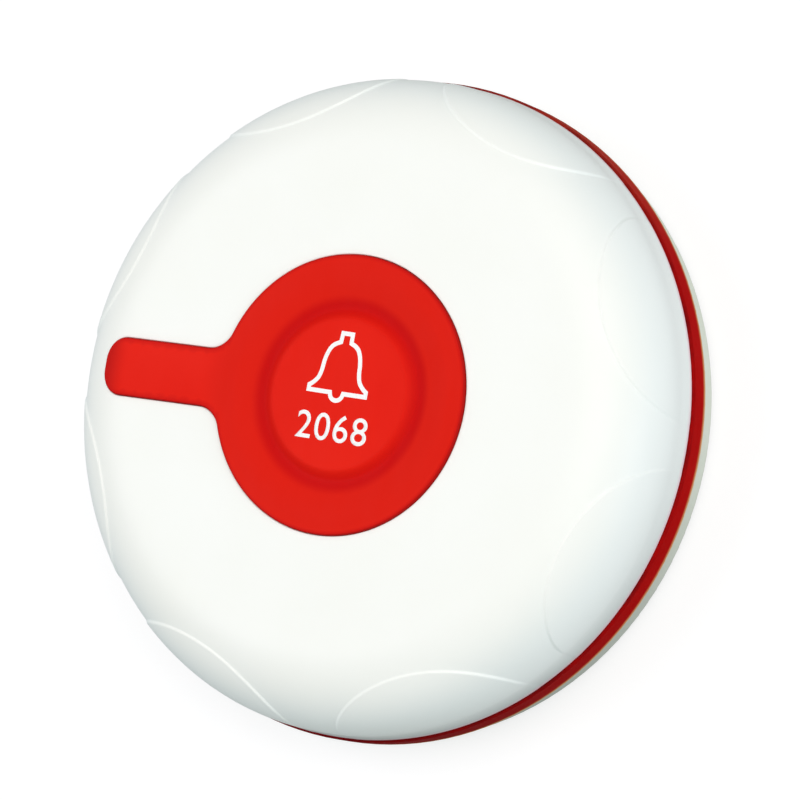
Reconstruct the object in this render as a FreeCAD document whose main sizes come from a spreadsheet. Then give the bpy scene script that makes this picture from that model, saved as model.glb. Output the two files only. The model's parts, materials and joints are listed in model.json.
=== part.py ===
import FreeCAD, Part
import math
import os
from types import SimpleNamespace

import Sketcher
from FreeCAD import Rotation, Vector

# Wireless table call button: a round puck that lies on its adhesive pad.
# +Z is up and along the press axis, -X points along the tail of the red face.
# The origin is the middle of the underside. All sizes are in millimetres.

SIZES = {
    # top shell
    "case_radius": 42.0,
    "shell_height": 13.9,  # seam to the middle of the top
    "crown": 1.0,  # fall of the top from its middle to the wall
    "shoulder_radius": 10.2,
    "shell_wall": 2.0,
    "ceiling_thickness": 2.9,
    "seam_flare": 0.3,  # how far the wall flares out at the seam
    "flare_height": 2.6,
    "petal_count": 8,
    "petal_radius": 27.0,
    "petal_outset": 21.5,  # case's wall to the centre of a petal's outline
    "petal_shoulder": 9.7,  # tighter than the shell's, so a petal stands proud
    "petal_proud": 0.05,  # how far a petal stands out of the wall
    "petal_foot_flare": 1.8,  # extra radius of a petal's outline at the seam
    "petal_top_taper": 0.45,  # what the outline loses at the top
    # red face
    "face_radius": 17.8,
    "face_raise": 0.35,
    "face_inlay": 1.3,  # depth of the face's seat in the shell
    "face_gap": 0.05,
    "face_edge_round": 0.3,
    "tail_inset": 6.55,  # case's wall to the tail's end
    "tail_half_width": 3.75,
    "tail_corner": 3.1,
    "neck_radius": 3.5,
    "dish_radius": 15.6,  # where the face starts to fall towards the groove
    "dish_depth": 0.5,
    "skirt_wall": 1.3,
    "deck_hole_radius": 14.0,
    "bead_overhang": 1.0,
    "bead_height": 0.9,
    # press pad and its web
    "pad_radius": 10.0,
    "pad_raise": 0.45,  # middle of the pad above the shell's top
    "pad_crown": 0.35,
    "pad_edge_round": 0.5,
    "pad_depth": 3.7,
    "web_radius": 12.3,
    "web_thickness": 0.5,
    "groove_depth": 0.8,  # shell's top to the bottom of the groove
    "web_rise": 0.6,  # outer edge of the web above its inner edge
    "plunger_flange_radius": 7.6,
    "plunger_flange": 1.2,
    "plunger_radius": 2.6,
    "plunger_gap": 0.2,
    "assembly_gap": 0.05,  # between pieces put together by hand
    # base
    "pad_stand": 0.3,  # adhesive pad below the base's rim
    "base_height": 7.3,  # base's rim to the seam, with the gasket
    "base_foot_inset": 0.3,  # behind the shell's wall
    "base_top_inset": 0.2,
    "base_edge_round": 0.4,
    "base_floor": 1.8,
    "gasket_height": 3.4,
    "gasket_proud": 0.6,
    "gasket_round": 0.3,
    "lip_gap": 0.1,
    "lip_wall": 1.2,
    "lip_overlap": 1.4,  # lip above the seam
    "well_depth": 2.7,  # of the round well for the mounting plate
    "well_wall": 1.05,  # between the well and the holes for the screws' heads
    # mounting plate and its twist lock
    "plate_thickness": 2.1,
    "plate_gap": 0.3,  # above the plate
    "lock_count": 3,
    "lock_gap": 0.4,  # between the plate's edge and the ledges
    "lug_gap": 0.3,  # between the lugs and the well's wall
    "lug_reach": 1.8,
    "lug_height": 0.8,
    "lug_sweep": 20.0,
    "ledge_height": 0.8,
    "ledge_gap": 0.3,
    "ledge_sweep": 22.0,
    "stop_sweep": 3.0,
    "stop_gap_angle": 0.3,
    "seal_inset": 2.2,
    "seal_section": 0.62,
    "seal_groove_depth": 1.0,
    "seal_side_gap": 0.08,
    "plate_hole_radius": 2.1,
    "plate_hole_offset": 16.0,
    "countersink_radius": 3.9,
    "countersink_depth": 1.2,
    "adhesive_inset": 4.5,
    "adhesive_thickness": 1.0,
    "adhesive_hole_radius": 4.2,
    # case screws
    "case_screw_count": 4,
    "boss_bite": 0.1,  # how far the base's bosses reach into its lip
    "case_screw_radius": 1.3,
    "case_screw_length": 10.0,
    "case_head_radius": 2.45,
    "case_head_height": 1.7,
    "case_head_depth": 0.5,  # head below the base's rim
    "screw_clearance": 0.15,
    "head_clearance": 0.3,
    "drive_width": 0.6,
    "drive_depth": 0.8,
    "base_boss_radius": 3.4,
    "shell_boss_radius": 2.9,
    "boss_gap": 0.1,
    # battery and its bay
    "battery_length": 28.5,
    "battery_radius": 5.15,
    "battery_nub_radius": 2.2,
    "battery_nub": 1.0,
    "sleeve_thickness": 0.12,
    "bay_offset": 15.0,
    "bay_side_gap": 0.45,
    "bay_top_gap": 0.3,
    "bay_wall": 1.2,
    "plate_to_battery": 0.2,
    "spring_length": 2.9,
    "spring_wire": 0.3,  # half the wire's width
    "spring_turns": 3,
    "spring_radius": 3.2,
    "spring_cone_angle": 20.0,
    "contact_thickness": 0.4,
    "contact_half_width": 4.2,
    "contact_height": 8.0,
    "contact_tail_width": 1.4,
    "contact_tail_reach": 1.4,
    # circuit board
    "board_margin": 0.5,  # between the board and the base's bosses
    "board_thickness": 1.2,
    "board_rise": 1.8,  # seam to the underside of the board
    "board_gap": 0.2,
    "board_screw_inset": 5.5,
    "board_screw_radius": 0.95,
    "board_screw_length": 5.0,
    "board_head_radius": 1.9,
    "board_head_height": 1.3,
    "board_boss_radius": 2.6,
    "lead_gap": 0.1,
    "lead_stub": 0.9,  # lead below the board
    # push switch
    "switch_width": 6.0,
    "switch_height": 3.2,
    "switch_cover": 0.3,
    "switch_well_radius": 2.6,
    "switch_well_depth": 1.6,
    "stem_radius": 1.75,
    "stem_height": 5.0,  # board to the stem's top
    "stem_flange_radius": 2.4,
    "stem_flange": 0.8,
    "snap_radius": 2.3,
    "snap_height": 0.5,
    "snap_thickness": 0.1,
    "terminal_width": 0.7,
    "terminal_thickness": 0.3,
    "terminal_pitch": 4.5,
    "terminal_height": 1.2,
    # signal lamp and light guide
    "lamp_inset": 7.45,  # tail's end to the lamp's axis
    "lamp_radius": 1.5,
    "lamp_rim_radius": 1.9,
    "lamp_rim": 1.0,
    "lamp_height": 4.3,
    "lamp_standoff": 0.5,
    "lamp_lead_pitch": 2.54,
    "lamp_lead_width": 0.5,
    "guide_radius": 1.9,
    "guide_flange_radius": 2.9,
    "guide_flange": 1.0,
    "guide_to_lamp": 0.4,
    # radio parts
    "chip_length": 4.9,
    "chip_width": 3.9,
    "chip_height": 1.4,
    "chip_standoff": 0.1,
    "chip_lead_pitch": 1.27,
    "chip_lead_width": 0.4,
    "chip_lead_reach": 1.0,
    "can_radius": 4.5,
    "can_rim_radius": 4.9,
    "can_rim": 0.5,
    "can_height": 3.3,
    "transistor_length": 2.9,
    "transistor_width": 1.3,
    "transistor_height": 1.0,
    "small_part_length": 1.6,
    "small_part_width": 0.8,
    "small_part_height": 0.5,
    "antenna_inset": 2.9,
    "antenna_wire": 0.5,
    "antenna_height": 3.6,
    "antenna_sweep": 110.0,
}

BELL_ANGLE = 90.0  # the side of the case that is up for the reader
CASE_SCREW_ANGLE = 45.0  # the first case screw
CHIP_COLUMNS = 4
BOARD_SCREW_ANGLES = (90.0, -12.0, 192.0)
CHIP_PLACE = (-11.0, 12.0)
CAN_PLACE = (13.0, 13.5)
TRANSISTOR_PLACE = (3.0, 14.0)
CAPACITOR_PLACES = ((-3.0, 11.0), (-3.0, 13.5), (7.0, 7.5), (16.5, 4.0))
RESISTOR_PLACES = ((-17.0, 5.0), (-14.0, 5.0), (-11.0, 5.0), (0.0, 18.0), (4.0, 18.0))

doc = FreeCAD.newDocument("call_button")
sheet = doc.addObject("Spreadsheet::Sheet", "Sizes")


class Size:
    """A number, together with the sheet expression that gives it."""

    def __init__(self, value, text=None):
        self.value = value
        self.text = text or repr(value)

    @staticmethod
    def of(other):
        return other if isinstance(other, Size) else Size(float(other))

    def joined(self, sign, other, value):
        return Size(value, f"({self.text} {sign} {other.text})")

    def __add__(self, other):
        other = Size.of(other)
        return self.joined("+", other, self.value + other.value)

    def __sub__(self, other):
        other = Size.of(other)
        return self.joined("-", other, self.value - other.value)

    def __mul__(self, other):
        other = Size.of(other)
        return self.joined("*", other, self.value * other.value)

    def __truediv__(self, other):
        other = Size.of(other)
        return self.joined("/", other, self.value / other.value)

    def __neg__(self):
        return Size(-self.value, f"(0 - {self.text})")

    def __radd__(self, other):
        return Size.of(other) + self

    def __rsub__(self, other):
        return Size.of(other) - self

    def __rmul__(self, other):
        return Size.of(other) * self

    def root(self):
        return Size(math.sqrt(self.value), f"sqrt({self.text})")


def fill_sheet():
    """One row for each size: its name, its value, and the name again as the cell's alias."""
    cells = {}
    for row, (name, value) in enumerate(SIZES.items(), start=1):
        sheet.set(f"A{row}", name)
        sheet.set(f"B{row}", str(value))
        sheet.setAlias(f"B{row}", name)
        cells[name] = Size(float(value), f"Sizes.{name}")
    doc.recompute()
    return SimpleNamespace(**cells)


s = fill_sheet()


# --- levels and radii that follow from the sizes ---------------------------------------------

rim_level = s.pad_stand
seam_level = rim_level + s.base_height
gasket_level = seam_level - s.gasket_height
top_level = seam_level + s.shell_height
ceiling_level = top_level - s.ceiling_thickness
cavity_radius = s.case_radius - s.shell_wall
petal_distance = s.case_radius + s.petal_outset
tail_reach = s.case_radius - s.tail_inset
through = s.shell_height * 2  # long enough to cut right through the case

lip_radius = cavity_radius - s.lip_gap
lip_inner_radius = lip_radius - s.lip_wall
boss_top = seam_level - s.boss_gap
base_foot_radius = s.case_radius - s.base_foot_inset
base_top_radius = s.case_radius - s.base_top_inset
case_screw_circle = lip_inner_radius - s.base_boss_radius + s.boss_bite
case_head_top = rim_level + s.case_head_depth + s.case_head_height

well_radius = case_screw_circle - s.case_head_radius - s.head_clearance - s.well_wall
well_level = rim_level + s.well_depth
floor_level = well_level + s.base_floor
plate_top = well_level - s.plate_gap
plate_bottom = plate_top - s.plate_thickness
plate_radius = well_radius - s.lug_gap - s.lug_reach
seal_radius = plate_radius - s.seal_inset
adhesive_radius = plate_radius - s.adhesive_inset
ledge_radius = plate_radius + s.lock_gap
lug_level = plate_top - s.lug_height
ledge_top = lug_level - s.ledge_gap

board_level = seam_level + s.board_rise
board_top = board_level + s.board_thickness
board_radius = case_screw_circle - s.base_boss_radius - s.board_margin
board_screw_circle = board_radius - s.board_screw_inset
antenna_radius = board_radius - s.antenna_inset
lamp_offset = tail_reach - s.lamp_inset
lead_level = board_level - s.lead_stub
stem_top = board_top + s.stem_height
plunger_bottom = stem_top + s.plunger_gap
pad_top = top_level + s.pad_raise
pad_bottom = pad_top - s.pad_depth
groove_level = top_level - s.groove_depth

bay_half_length = (s.battery_length + s.spring_length + 2 * s.contact_thickness) / 2 + s.assembly_gap * 2
bay_half_width = s.battery_radius + s.bay_side_gap
battery_level = plate_top + s.plate_to_battery + s.battery_radius
bay_ceiling = battery_level + s.battery_radius + s.bay_top_gap
bay_outer_length = bay_half_length + s.bay_wall
bay_outer_width = bay_half_width + s.bay_wall
contact_tail_level = lead_level - s.contact_tail_width


# --- building blocks -------------------------------------------------------------------------


def bind(item, **properties):
    """Bind properties to sheet expressions. A double underscore in a name stands for a dot."""
    for name, size in properties.items():
        item.setExpression(name.replace("__", "."), Size.of(size).text)


def place(item, x=0, y=0, z=0):
    bind(item, Placement__Base__x=x, Placement__Base__y=y, Placement__Base__z=z)


def turn(item, angle, axis=Vector(0, 0, 1)):
    """Turn an item about an axis through its own place."""
    item.Placement.Rotation = Rotation(axis, angle)


def rod(name, radius, z, height, x=0, y=0):
    item = doc.addObject("Part::Cylinder", name)
    bind(item, Radius=radius, Height=height)
    place(item, x, y, z)
    return item


def cone(name, low_radius, high_radius, z, height, x=0, y=0):
    item = doc.addObject("Part::Cone", name)
    bind(item, Radius1=low_radius, Radius2=high_radius, Height=height)
    place(item, x, y, z)
    return item


def block(name, x, y, z, length, width, height):
    """A box whose middle is at x, y and whose underside is at z."""
    item = doc.addObject("Part::Box", name)
    bind(item, Length=length, Width=width, Height=height)
    place(item, Size.of(x) - Size.of(length) / 2, Size.of(y) - Size.of(width) / 2, z)
    return item


def fuse(name, pieces):
    item = doc.addObject("Part::MultiFuse", name)
    item.Shapes = pieces
    return item


def cut(name, base, tools):
    item = doc.addObject("Part::Cut", name)
    item.Base = base
    item.Tool = tools[0] if len(tools) == 1 else fuse(name + "_tools", tools)
    return item


def common(name, first, second):
    item = doc.addObject("Part::MultiCommon", name)
    item.Shapes = [first, second]
    return item


def group(name, pieces):
    item = doc.addObject("Part::Compound", name)
    item.Links = pieces
    return item


def sector(name, inner, outer, z, height, sweep, middle_angle):
    """A piece of a ring that spans sweep degrees about middle_angle."""
    wedge = rod(name + "_wedge", outer, z, height)
    wedge.setExpression("Angle", Size.of(sweep).text)
    wedge.setExpression("Placement.Rotation.Angle", (Size.of(middle_angle) - Size.of(sweep) / 2).text)
    return cut(name, wedge, [rod(name + "_inside", inner, z, height)])


def on_circle(radius, angle):
    """The x and y of a point on a circle about the case's axis."""
    return radius * math.cos(math.radians(angle)), radius * math.sin(math.radians(angle))


def even_angles(count, first):
    return [first + index * 360.0 / round(count.value) for index in range(round(count.value))]


def plane_of(body, role):
    return next(item for item in body.Origin.OriginFeatures if item.Role == role)


def new_sketch(body, role):
    sketch = body.newObject("Sketcher::SketchObject", body.Name + "_sketch")
    sketch.AttachmentSupport = [(plane_of(body, role), "")]
    sketch.MapMode = "FlatFace"
    return sketch


def pin_point(sketch, geometry, end, x, y):
    """Fix a sketch point at x, y by constraints bound to the sheet."""
    for kind, axis, size in (("DistanceX", -2, x), ("DistanceY", -1, y)):
        size = Size.of(size)
        if size.value == 0:
            sketch.addConstraint(Sketcher.Constraint("PointOnObject", geometry, end, axis))
        else:
            index = sketch.addConstraint(Sketcher.Constraint(kind, -1, 1, geometry, end, size.value))
            sketch.setExpression(f"Constraints[{index}]", size.text)


def close_outline(sketch, lines, points):
    """Join the lines end to end and fix each corner."""
    for index, line in enumerate(lines):
        following = lines[(index + 1) % len(lines)]
        sketch.addConstraint(Sketcher.Constraint("Coincident", line, 2, following, 1))
        pin_point(sketch, line, 1, *points[index])


def draw_outline(sketch, points):
    """A closed outline of straight lines through the points."""
    corners = [Vector(Size.of(x).value, Size.of(y).value, 0) for x, y in points]
    lines = []
    for index, corner in enumerate(corners):
        following = corners[(index + 1) % len(corners)]
        lines.append(sketch.addGeometry(Part.LineSegment(corner, following), False))
    close_outline(sketch, lines, points)
    return lines


def revolve(body, sketch):
    turned = body.newObject("PartDesign::Revolution", body.Name + "_turned")
    turned.Profile = sketch
    turned.ReferenceAxis = (sketch, ["V_Axis"])
    turned.Angle = 360
    sketch.Visibility = False
    return turned


def lathe(name, points):
    """A body turned about the case's axis from an outline of radius and level."""
    body = doc.addObject("PartDesign::Body", name)
    sketch = new_sketch(body, "XZ_Plane")
    draw_outline(sketch, points)
    revolve(body, sketch)
    return body


def edges_where(item, test):
    """Names of the edges of an item's shape that pass a test."""
    return [f"Edge{index}" for index, edge in enumerate(item.Shape.Edges, start=1) if test(edge)]


def is_circle_at(edge, radius, level):
    """Whether an edge is a full circle of this radius and level about the case's axis."""
    if edge.Degenerated:
        return False
    curve = edge.Curve
    if not isinstance(curve, Part.Circle) or not edge.isClosed():
        return False
    return abs(curve.Radius - radius.value) < 0.01 and abs(curve.Center.z - level.value) < 0.01


def round_edges(body, radius, test):
    """Round the edges of a body's last feature that pass a test."""
    doc.recompute()
    base = body.Tip
    rounded = body.newObject("PartDesign::Fillet", body.Name + "_round")
    rounded.Base = (base, edges_where(base, test))
    bind(rounded, Radius=radius)
    return rounded


def extrude(body, sketch, height):
    pad = body.newObject("PartDesign::Pad", body.Name + "_extruded")
    pad.Profile = sketch
    bind(pad, Length=height)
    sketch.Visibility = False
    return pad


# --- shapes that several pieces share --------------------------------------------------------


def dome(name, offset, shoulder, side_offset=None):
    """The case's outer form, offset outwards: a crowned top, a round shoulder and a straight wall."""
    offset = Size.of(offset)
    radius = s.case_radius + (offset if side_offset is None else side_offset)
    middle = top_level + offset
    crown_radius = (radius * radius + s.crown * s.crown) / (2 * s.crown)
    crown_centre = middle - crown_radius
    reach = crown_radius - shoulder
    shoulder_centre = radius - shoulder
    rise = (reach * reach - shoulder_centre * shoulder_centre).root()
    wall_top = crown_centre + rise
    share = crown_radius / reach
    points = [
        (0, seam_level),
        (radius, seam_level),
        (radius, wall_top),
        (shoulder_centre * share, crown_centre + rise * share),
        (0, middle),
    ]
    flat = [Vector(Size.of(x).value, Size.of(y).value, 0) for x, y in points]
    bend = math.atan2(rise.value, shoulder_centre.value) / 2
    on_shoulder = Vector(math.cos(bend), math.sin(bend), 0) * shoulder.value
    on_shoulder += Vector(shoulder_centre.value, wall_top.value, 0)
    half = flat[3].x / 2
    on_crown = Vector(half, crown_centre.value + math.sqrt(crown_radius.value ** 2 - half ** 2), 0)
    body = doc.addObject("PartDesign::Body", name)
    sketch = new_sketch(body, "XZ_Plane")
    lines = [
        sketch.addGeometry(Part.LineSegment(flat[0], flat[1]), False),
        sketch.addGeometry(Part.LineSegment(flat[1], flat[2]), False),
        sketch.addGeometry(Part.Arc(flat[2], on_shoulder, flat[3]), False),
        sketch.addGeometry(Part.Arc(flat[3], on_crown, flat[4]), False),
        sketch.addGeometry(Part.LineSegment(flat[4], flat[0]), False),
    ]
    close_outline(sketch, lines, points)
    index = sketch.addConstraint(Sketcher.Constraint("DistanceY", -1, 1, lines[2], 3, wall_top.value))
    sketch.setExpression(f"Constraints[{index}]", wall_top.text)
    sketch.addConstraint(Sketcher.Constraint("PointOnObject", lines[3], 3, -2))
    revolve(body, sketch)
    return body


def face_outline(name, gap):
    """An upright prism with the outline of the red face: a disc with a tail along -X."""
    body = doc.addObject("PartDesign::Body", name)
    disc = new_sketch(body, "XY_Plane")
    radius = s.face_radius + gap
    circle = disc.addGeometry(Part.Circle(Vector(0, 0, 0), Vector(0, 0, 1), radius.value), False)
    disc.addConstraint(Sketcher.Constraint("Coincident", circle, 3, -1, 1))
    index = disc.addConstraint(Sketcher.Constraint("Radius", circle, radius.value))
    disc.setExpression(f"Constraints[{index}]", radius.text)
    height = top_level + s.shell_wall
    extrude(body, disc, height)
    tail = new_sketch(body, "XY_Plane")
    half = s.tail_half_width + gap
    end = tail_reach + gap
    draw_outline(tail, [(0, -half), (0, half), (-end, half), (-end, -half)])
    extrude(body, tail, height)

    def is_corner(edge, x):
        box = edge.BoundBox
        upright = box.ZLength > 0.9 * height.value
        return upright and abs(box.Center.x - x) < 0.01 and abs(abs(box.Center.y) - half.value) < 0.01

    neck = -math.sqrt(radius.value ** 2 - half.value ** 2)
    round_edges(body, s.neck_radius, lambda edge: is_corner(edge, neck))
    round_edges(body, s.tail_corner + gap, lambda edge: is_corner(edge, -end.value))
    return body


# --- top shell -------------------------------------------------------------------------------


def petals():
    """Eight raised grip petals on the shoulder, each with a slanted rim."""
    raised = dome("petal_dome", 0, s.petal_shoulder, s.petal_proud)
    outlines = []
    height = s.shell_height + s.crown
    wide = s.petal_radius + s.petal_foot_flare
    narrow = s.petal_radius - s.petal_top_taper
    step = 360.0 / round(s.petal_count.value)
    for index, angle in enumerate(even_angles(s.petal_count, step / 2)):
        x, y = on_circle(petal_distance, angle)
        outlines.append(cone(f"petal_outline_{index}", wide, narrow, seam_level, height, x, y))
    return common("petal_forms", raised, fuse("petal_outlines", outlines))


def shell_bosses():
    """Screw bosses that hang from the shell's inside."""
    bosses = []
    for index, angle in enumerate(even_angles(s.case_screw_count, CASE_SCREW_ANGLE)):
        x, y = on_circle(case_screw_circle, angle)
        bosses.append(rod(f"shell_boss_{index}", s.shell_boss_radius, seam_level, s.shell_height, x, y))
    limit = dome("boss_limit", -s.face_inlay, s.shoulder_radius)
    return common("shell_bosses", fuse("shell_boss_rods", bosses), limit)


def make_top_shell():
    outside = dome("shell_dome", 0, s.shoulder_radius)
    cavity = lathe(
        "shell_cavity",
        [(0, seam_level), (cavity_radius, seam_level), (cavity_radius, ceiling_level), (0, ceiling_level)],
    )
    inner_round = s.shoulder_radius - s.shell_wall
    round_edges(cavity, inner_round, lambda edge: is_circle_at(edge, cavity_radius, ceiling_level))
    flare_top = seam_level + s.flare_height
    flare = lathe(
        "shell_flare",
        [
            (cavity_radius + s.shell_wall / 4, seam_level),
            (s.case_radius + s.seam_flare, seam_level),
            (s.case_radius, flare_top),
            (cavity_radius + s.shell_wall / 4, flare_top),
        ],
    )
    hollow = cut("shell_hollow", fuse("shell_outside", [outside, petals(), flare]), [cavity])
    seat_floor = dome("seat_floor", -s.face_inlay, s.shoulder_radius)
    seat = cut("face_seat", face_outline("seat_outline", s.face_gap), [seat_floor])
    holes = [seat, rod("deck_hole", s.deck_hole_radius, seam_level, through)]
    guide_hole = s.guide_radius + s.assembly_gap
    holes.append(rod("guide_hole", guide_hole, ceiling_level - s.shell_wall, through, -lamp_offset))
    pilot = s.case_screw_radius + s.assembly_gap
    pilot_depth = case_head_top + s.case_screw_length + s.shell_wall / 2 - seam_level
    for index, angle in enumerate(even_angles(s.case_screw_count, CASE_SCREW_ANGLE)):
        x, y = on_circle(case_screw_circle, angle)
        holes.append(rod(f"pilot_hole_{index}", pilot, seam_level, pilot_depth, x, y))
    return cut("top_shell", fuse("shell_with_bosses", [hollow, shell_bosses()]), holes)


# --- red face, pad and web -------------------------------------------------------------------


def lean(face):
    """The vertical part of a face's normal at the face's middle: 1 looks up, 0 is an upright face."""
    u_low, u_high, v_low, v_high = face.ParameterRange
    return face.normalAt((u_low + u_high) / 2, (v_low + v_high) / 2).z


def round_outline(name, item, radius, inner_radius):
    """Round the edges between an item's top and its upright sides, beyond inner_radius."""
    doc.recompute()
    shape = item.Shape
    chosen = []
    for index, edge in enumerate(shape.Edges, start=1):
        if edge.Degenerated:
            continue
        leans = [lean(face) for face in shape.ancestorsOfType(edge, Part.Face)]
        farthest = max(math.hypot(vertex.X, vertex.Y) for vertex in edge.Vertexes)
        if max(leans) > 0.5 and min(map(abs, leans)) < 0.01 and farthest >= inner_radius.value:
            chosen.append((index, radius.value, radius.value))
    rounded = doc.addObject("Part::Fillet", name)
    rounded.Base = item
    rounded.Edges = chosen
    return rounded


def make_face():
    """The soft red face: its tail follows the shoulder, and its skirt snaps behind the shell's deck."""
    outline = face_outline("face_prism", Size.of(0))
    raised = dome("face_dome", s.face_raise, s.shoulder_radius + s.face_raise)
    underside = dome("face_underside", -s.face_inlay, s.shoulder_radius)
    plate = cut("face_plate", common("face_form", outline, raised), [underside])
    skirt_radius = s.deck_hole_radius - s.face_gap
    skirt_inner = skirt_radius - s.skirt_wall
    bead_top = ceiling_level - s.face_gap
    bead_bottom = bead_top - s.bead_height
    skirt_top = top_level - s.face_inlay / 2
    skirt = lathe(
        "face_skirt",
        [
            (skirt_inner, bead_bottom),
            (skirt_radius + s.bead_overhang, bead_bottom),
            (skirt_radius + s.bead_overhang, bead_top),
            (skirt_radius, bead_top),
            (skirt_radius, skirt_top),
            (skirt_inner, skirt_top),
        ],
    )
    face_top = top_level + s.face_raise
    lip_level = face_top - s.dish_depth
    dish = lathe(
        "face_dish",
        [
            (0, ceiling_level),
            (s.web_radius, ceiling_level),
            (s.web_radius, lip_level),
            (s.dish_radius, face_top),
            (s.dish_radius, face_top + s.shell_wall),
            (0, face_top + s.shell_wall),
        ],
    )
    turn(dish, 45)  # its seam line then doesn't lie on the plate's own
    ring = cut("face_ring", plate, [dish])
    rounded = round_outline("face_rounded", ring, s.face_edge_round, s.dish_radius)
    return fuse("face_membrane", [rounded, skirt])


def make_pad():
    """The round press pad: a crowned disc with a pocket for the plunger's flange."""
    edge_level = pad_top - s.pad_crown
    pocket_radius = s.plunger_flange_radius + s.assembly_gap
    pocket_top = pad_bottom + s.plunger_flange
    body = doc.addObject("PartDesign::Body", "button_pad")
    sketch = new_sketch(body, "XZ_Plane")
    points = [
        (0, pocket_top),
        (pocket_radius, pocket_top),
        (pocket_radius, pad_bottom),
        (s.pad_radius, pad_bottom),
        (s.pad_radius, edge_level),
        (0, pad_top),
    ]
    flat = [Vector(Size.of(x).value, Size.of(y).value, 0) for x, y in points]
    half_way = Vector(s.pad_radius.value / 2, pad_top.value - s.pad_crown.value / 4, 0)
    lines = []
    for index, corner in enumerate(flat):
        following = flat[(index + 1) % len(flat)]
        curve = Part.Arc(corner, half_way, following) if index == 4 else Part.LineSegment(corner, following)
        lines.append(sketch.addGeometry(curve, False))
    close_outline(sketch, lines, points)
    sketch.addConstraint(Sketcher.Constraint("PointOnObject", lines[4], 3, -2))
    revolve(body, sketch)
    round_edges(body, s.pad_edge_round, lambda edge: is_circle_at(edge, s.pad_radius, edge_level))
    return body


def make_web():
    """The thin soft web that joins the pad to the face, in the floor of the groove."""
    inner = s.pad_radius + s.face_gap
    outer = s.web_radius - s.face_gap
    return lathe(
        "button_web",
        [
            (inner, groove_level - s.web_thickness),
            (outer, groove_level + s.web_rise - s.web_thickness),
            (outer, groove_level + s.web_rise),
            (inner, groove_level),
        ],
    )


def make_plunger():
    return lathe(
        "button_plunger",
        [
            (0, plunger_bottom),
            (s.plunger_radius, plunger_bottom),
            (s.plunger_radius, pad_bottom),
            (s.plunger_flange_radius, pad_bottom),
            (s.plunger_flange_radius, pad_bottom + s.plunger_flange),
            (0, pad_bottom + s.plunger_flange),
        ],
    )


# --- base, gasket and case screws ------------------------------------------------------------


def bay_block(name, half_length, half_width, z, top):
    return block(name, 0, -s.bay_offset, z, half_length * 2, half_width * 2, top - z)


def contact_slot(name, side):
    """A slot in the bay's wall for a contact's tail."""
    width = s.contact_thickness + s.lead_gap * 2
    x = side * (bay_half_length - s.assembly_gap - s.contact_thickness / 2)
    y = -s.bay_offset + bay_half_width + s.bay_wall / 2
    height = s.contact_tail_width + s.lead_gap * 2
    depth = s.bay_wall + s.lead_gap * 2
    return block(name, x, y, contact_tail_level - s.lead_gap, width, depth, height)


def lock_ledges():
    """Ledges in the well's wall that carry the plate's lugs, each with a stop at one end."""
    pieces = []
    bottom = ledge_top - s.ledge_height
    outer = well_radius + s.well_wall / 2
    stop_height = well_level - bottom + s.base_floor / 2
    for index, angle in enumerate(even_angles(s.lock_count, BELL_ANGLE)):
        ledge = (ledge_radius, outer, bottom, s.ledge_height, s.ledge_sweep)
        pieces.append(sector(f"ledge_{index}", *ledge, angle))
        stop = (ledge_radius, outer, bottom, stop_height, s.stop_sweep)
        stop_middle = angle - s.lug_sweep / 2 - s.stop_gap_angle - s.stop_sweep / 2
        pieces.append(sector(f"stop_{index}", *stop, stop_middle))
    return pieces


def make_base():
    foot_level = rim_level + s.base_floor
    wall = lathe(
        "base_wall",
        [
            (well_radius, rim_level),
            (base_foot_radius, rim_level),
            (base_top_radius, gasket_level),
            (lip_radius, gasket_level),
            (lip_radius, seam_level + s.lip_overlap),
            (lip_inner_radius, seam_level + s.lip_overlap),
            (lip_inner_radius, foot_level),
            (well_radius + s.base_floor, foot_level),
            (well_radius + s.base_floor, floor_level),
            (0, floor_level),
            (0, well_level),
            (well_radius, well_level),
        ],
    )
    round_edges(wall, s.base_edge_round, lambda edge: is_circle_at(edge, base_foot_radius, rim_level))
    pieces = [wall, *lock_ledges()]
    bay_top = bay_ceiling + s.bay_wall
    pieces.append(bay_block("bay_outside", bay_outer_length, bay_outer_width, well_level, bay_top))
    holes = [bay_block("bay_inside", bay_half_length, bay_half_width, plate_bottom, bay_ceiling)]
    holes += [contact_slot("slot_positive", -1), contact_slot("slot_negative", 1)]
    head_hole = s.case_head_radius + s.head_clearance
    screw_hole = s.case_screw_radius + s.screw_clearance
    for index, angle in enumerate(even_angles(s.case_screw_count, CASE_SCREW_ANGLE)):
        x, y = on_circle(case_screw_circle, angle)
        pieces.append(rod(f"base_boss_{index}", s.base_boss_radius, rim_level, boss_top - rim_level, x, y))
        holes.append(rod(f"head_hole_{index}", head_hole, 0, case_head_top, x, y))
        holes.append(rod(f"screw_hole_{index}", screw_hole, rim_level, seam_level, x, y))
    pilot = s.board_screw_radius + s.assembly_gap
    boss_height = board_level - well_level
    for index, angle in enumerate(BOARD_SCREW_ANGLES):
        x, y = on_circle(board_screw_circle, angle)
        pieces.append(rod(f"board_boss_{index}", s.board_boss_radius, well_level, boss_height, x, y))
        holes.append(rod(f"board_pilot_{index}", pilot, floor_level, board_level, x, y))
    return cut("base_shell", fuse("base_solid", pieces), holes)


def make_gasket():
    """The red band between the shells."""
    outer = s.case_radius + s.gasket_proud
    gasket = lathe(
        "case_gasket",
        [
            (lip_radius + s.assembly_gap, gasket_level),
            (outer, gasket_level),
            (outer, seam_level),
            (lip_radius + s.assembly_gap, seam_level),
        ],
    )


    def is_outer_rim(edge):
        return is_circle_at(edge, outer, gasket_level) or is_circle_at(edge, outer, seam_level)

    round_edges(gasket, s.gasket_round, is_outer_rim)
    return gasket


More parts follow.
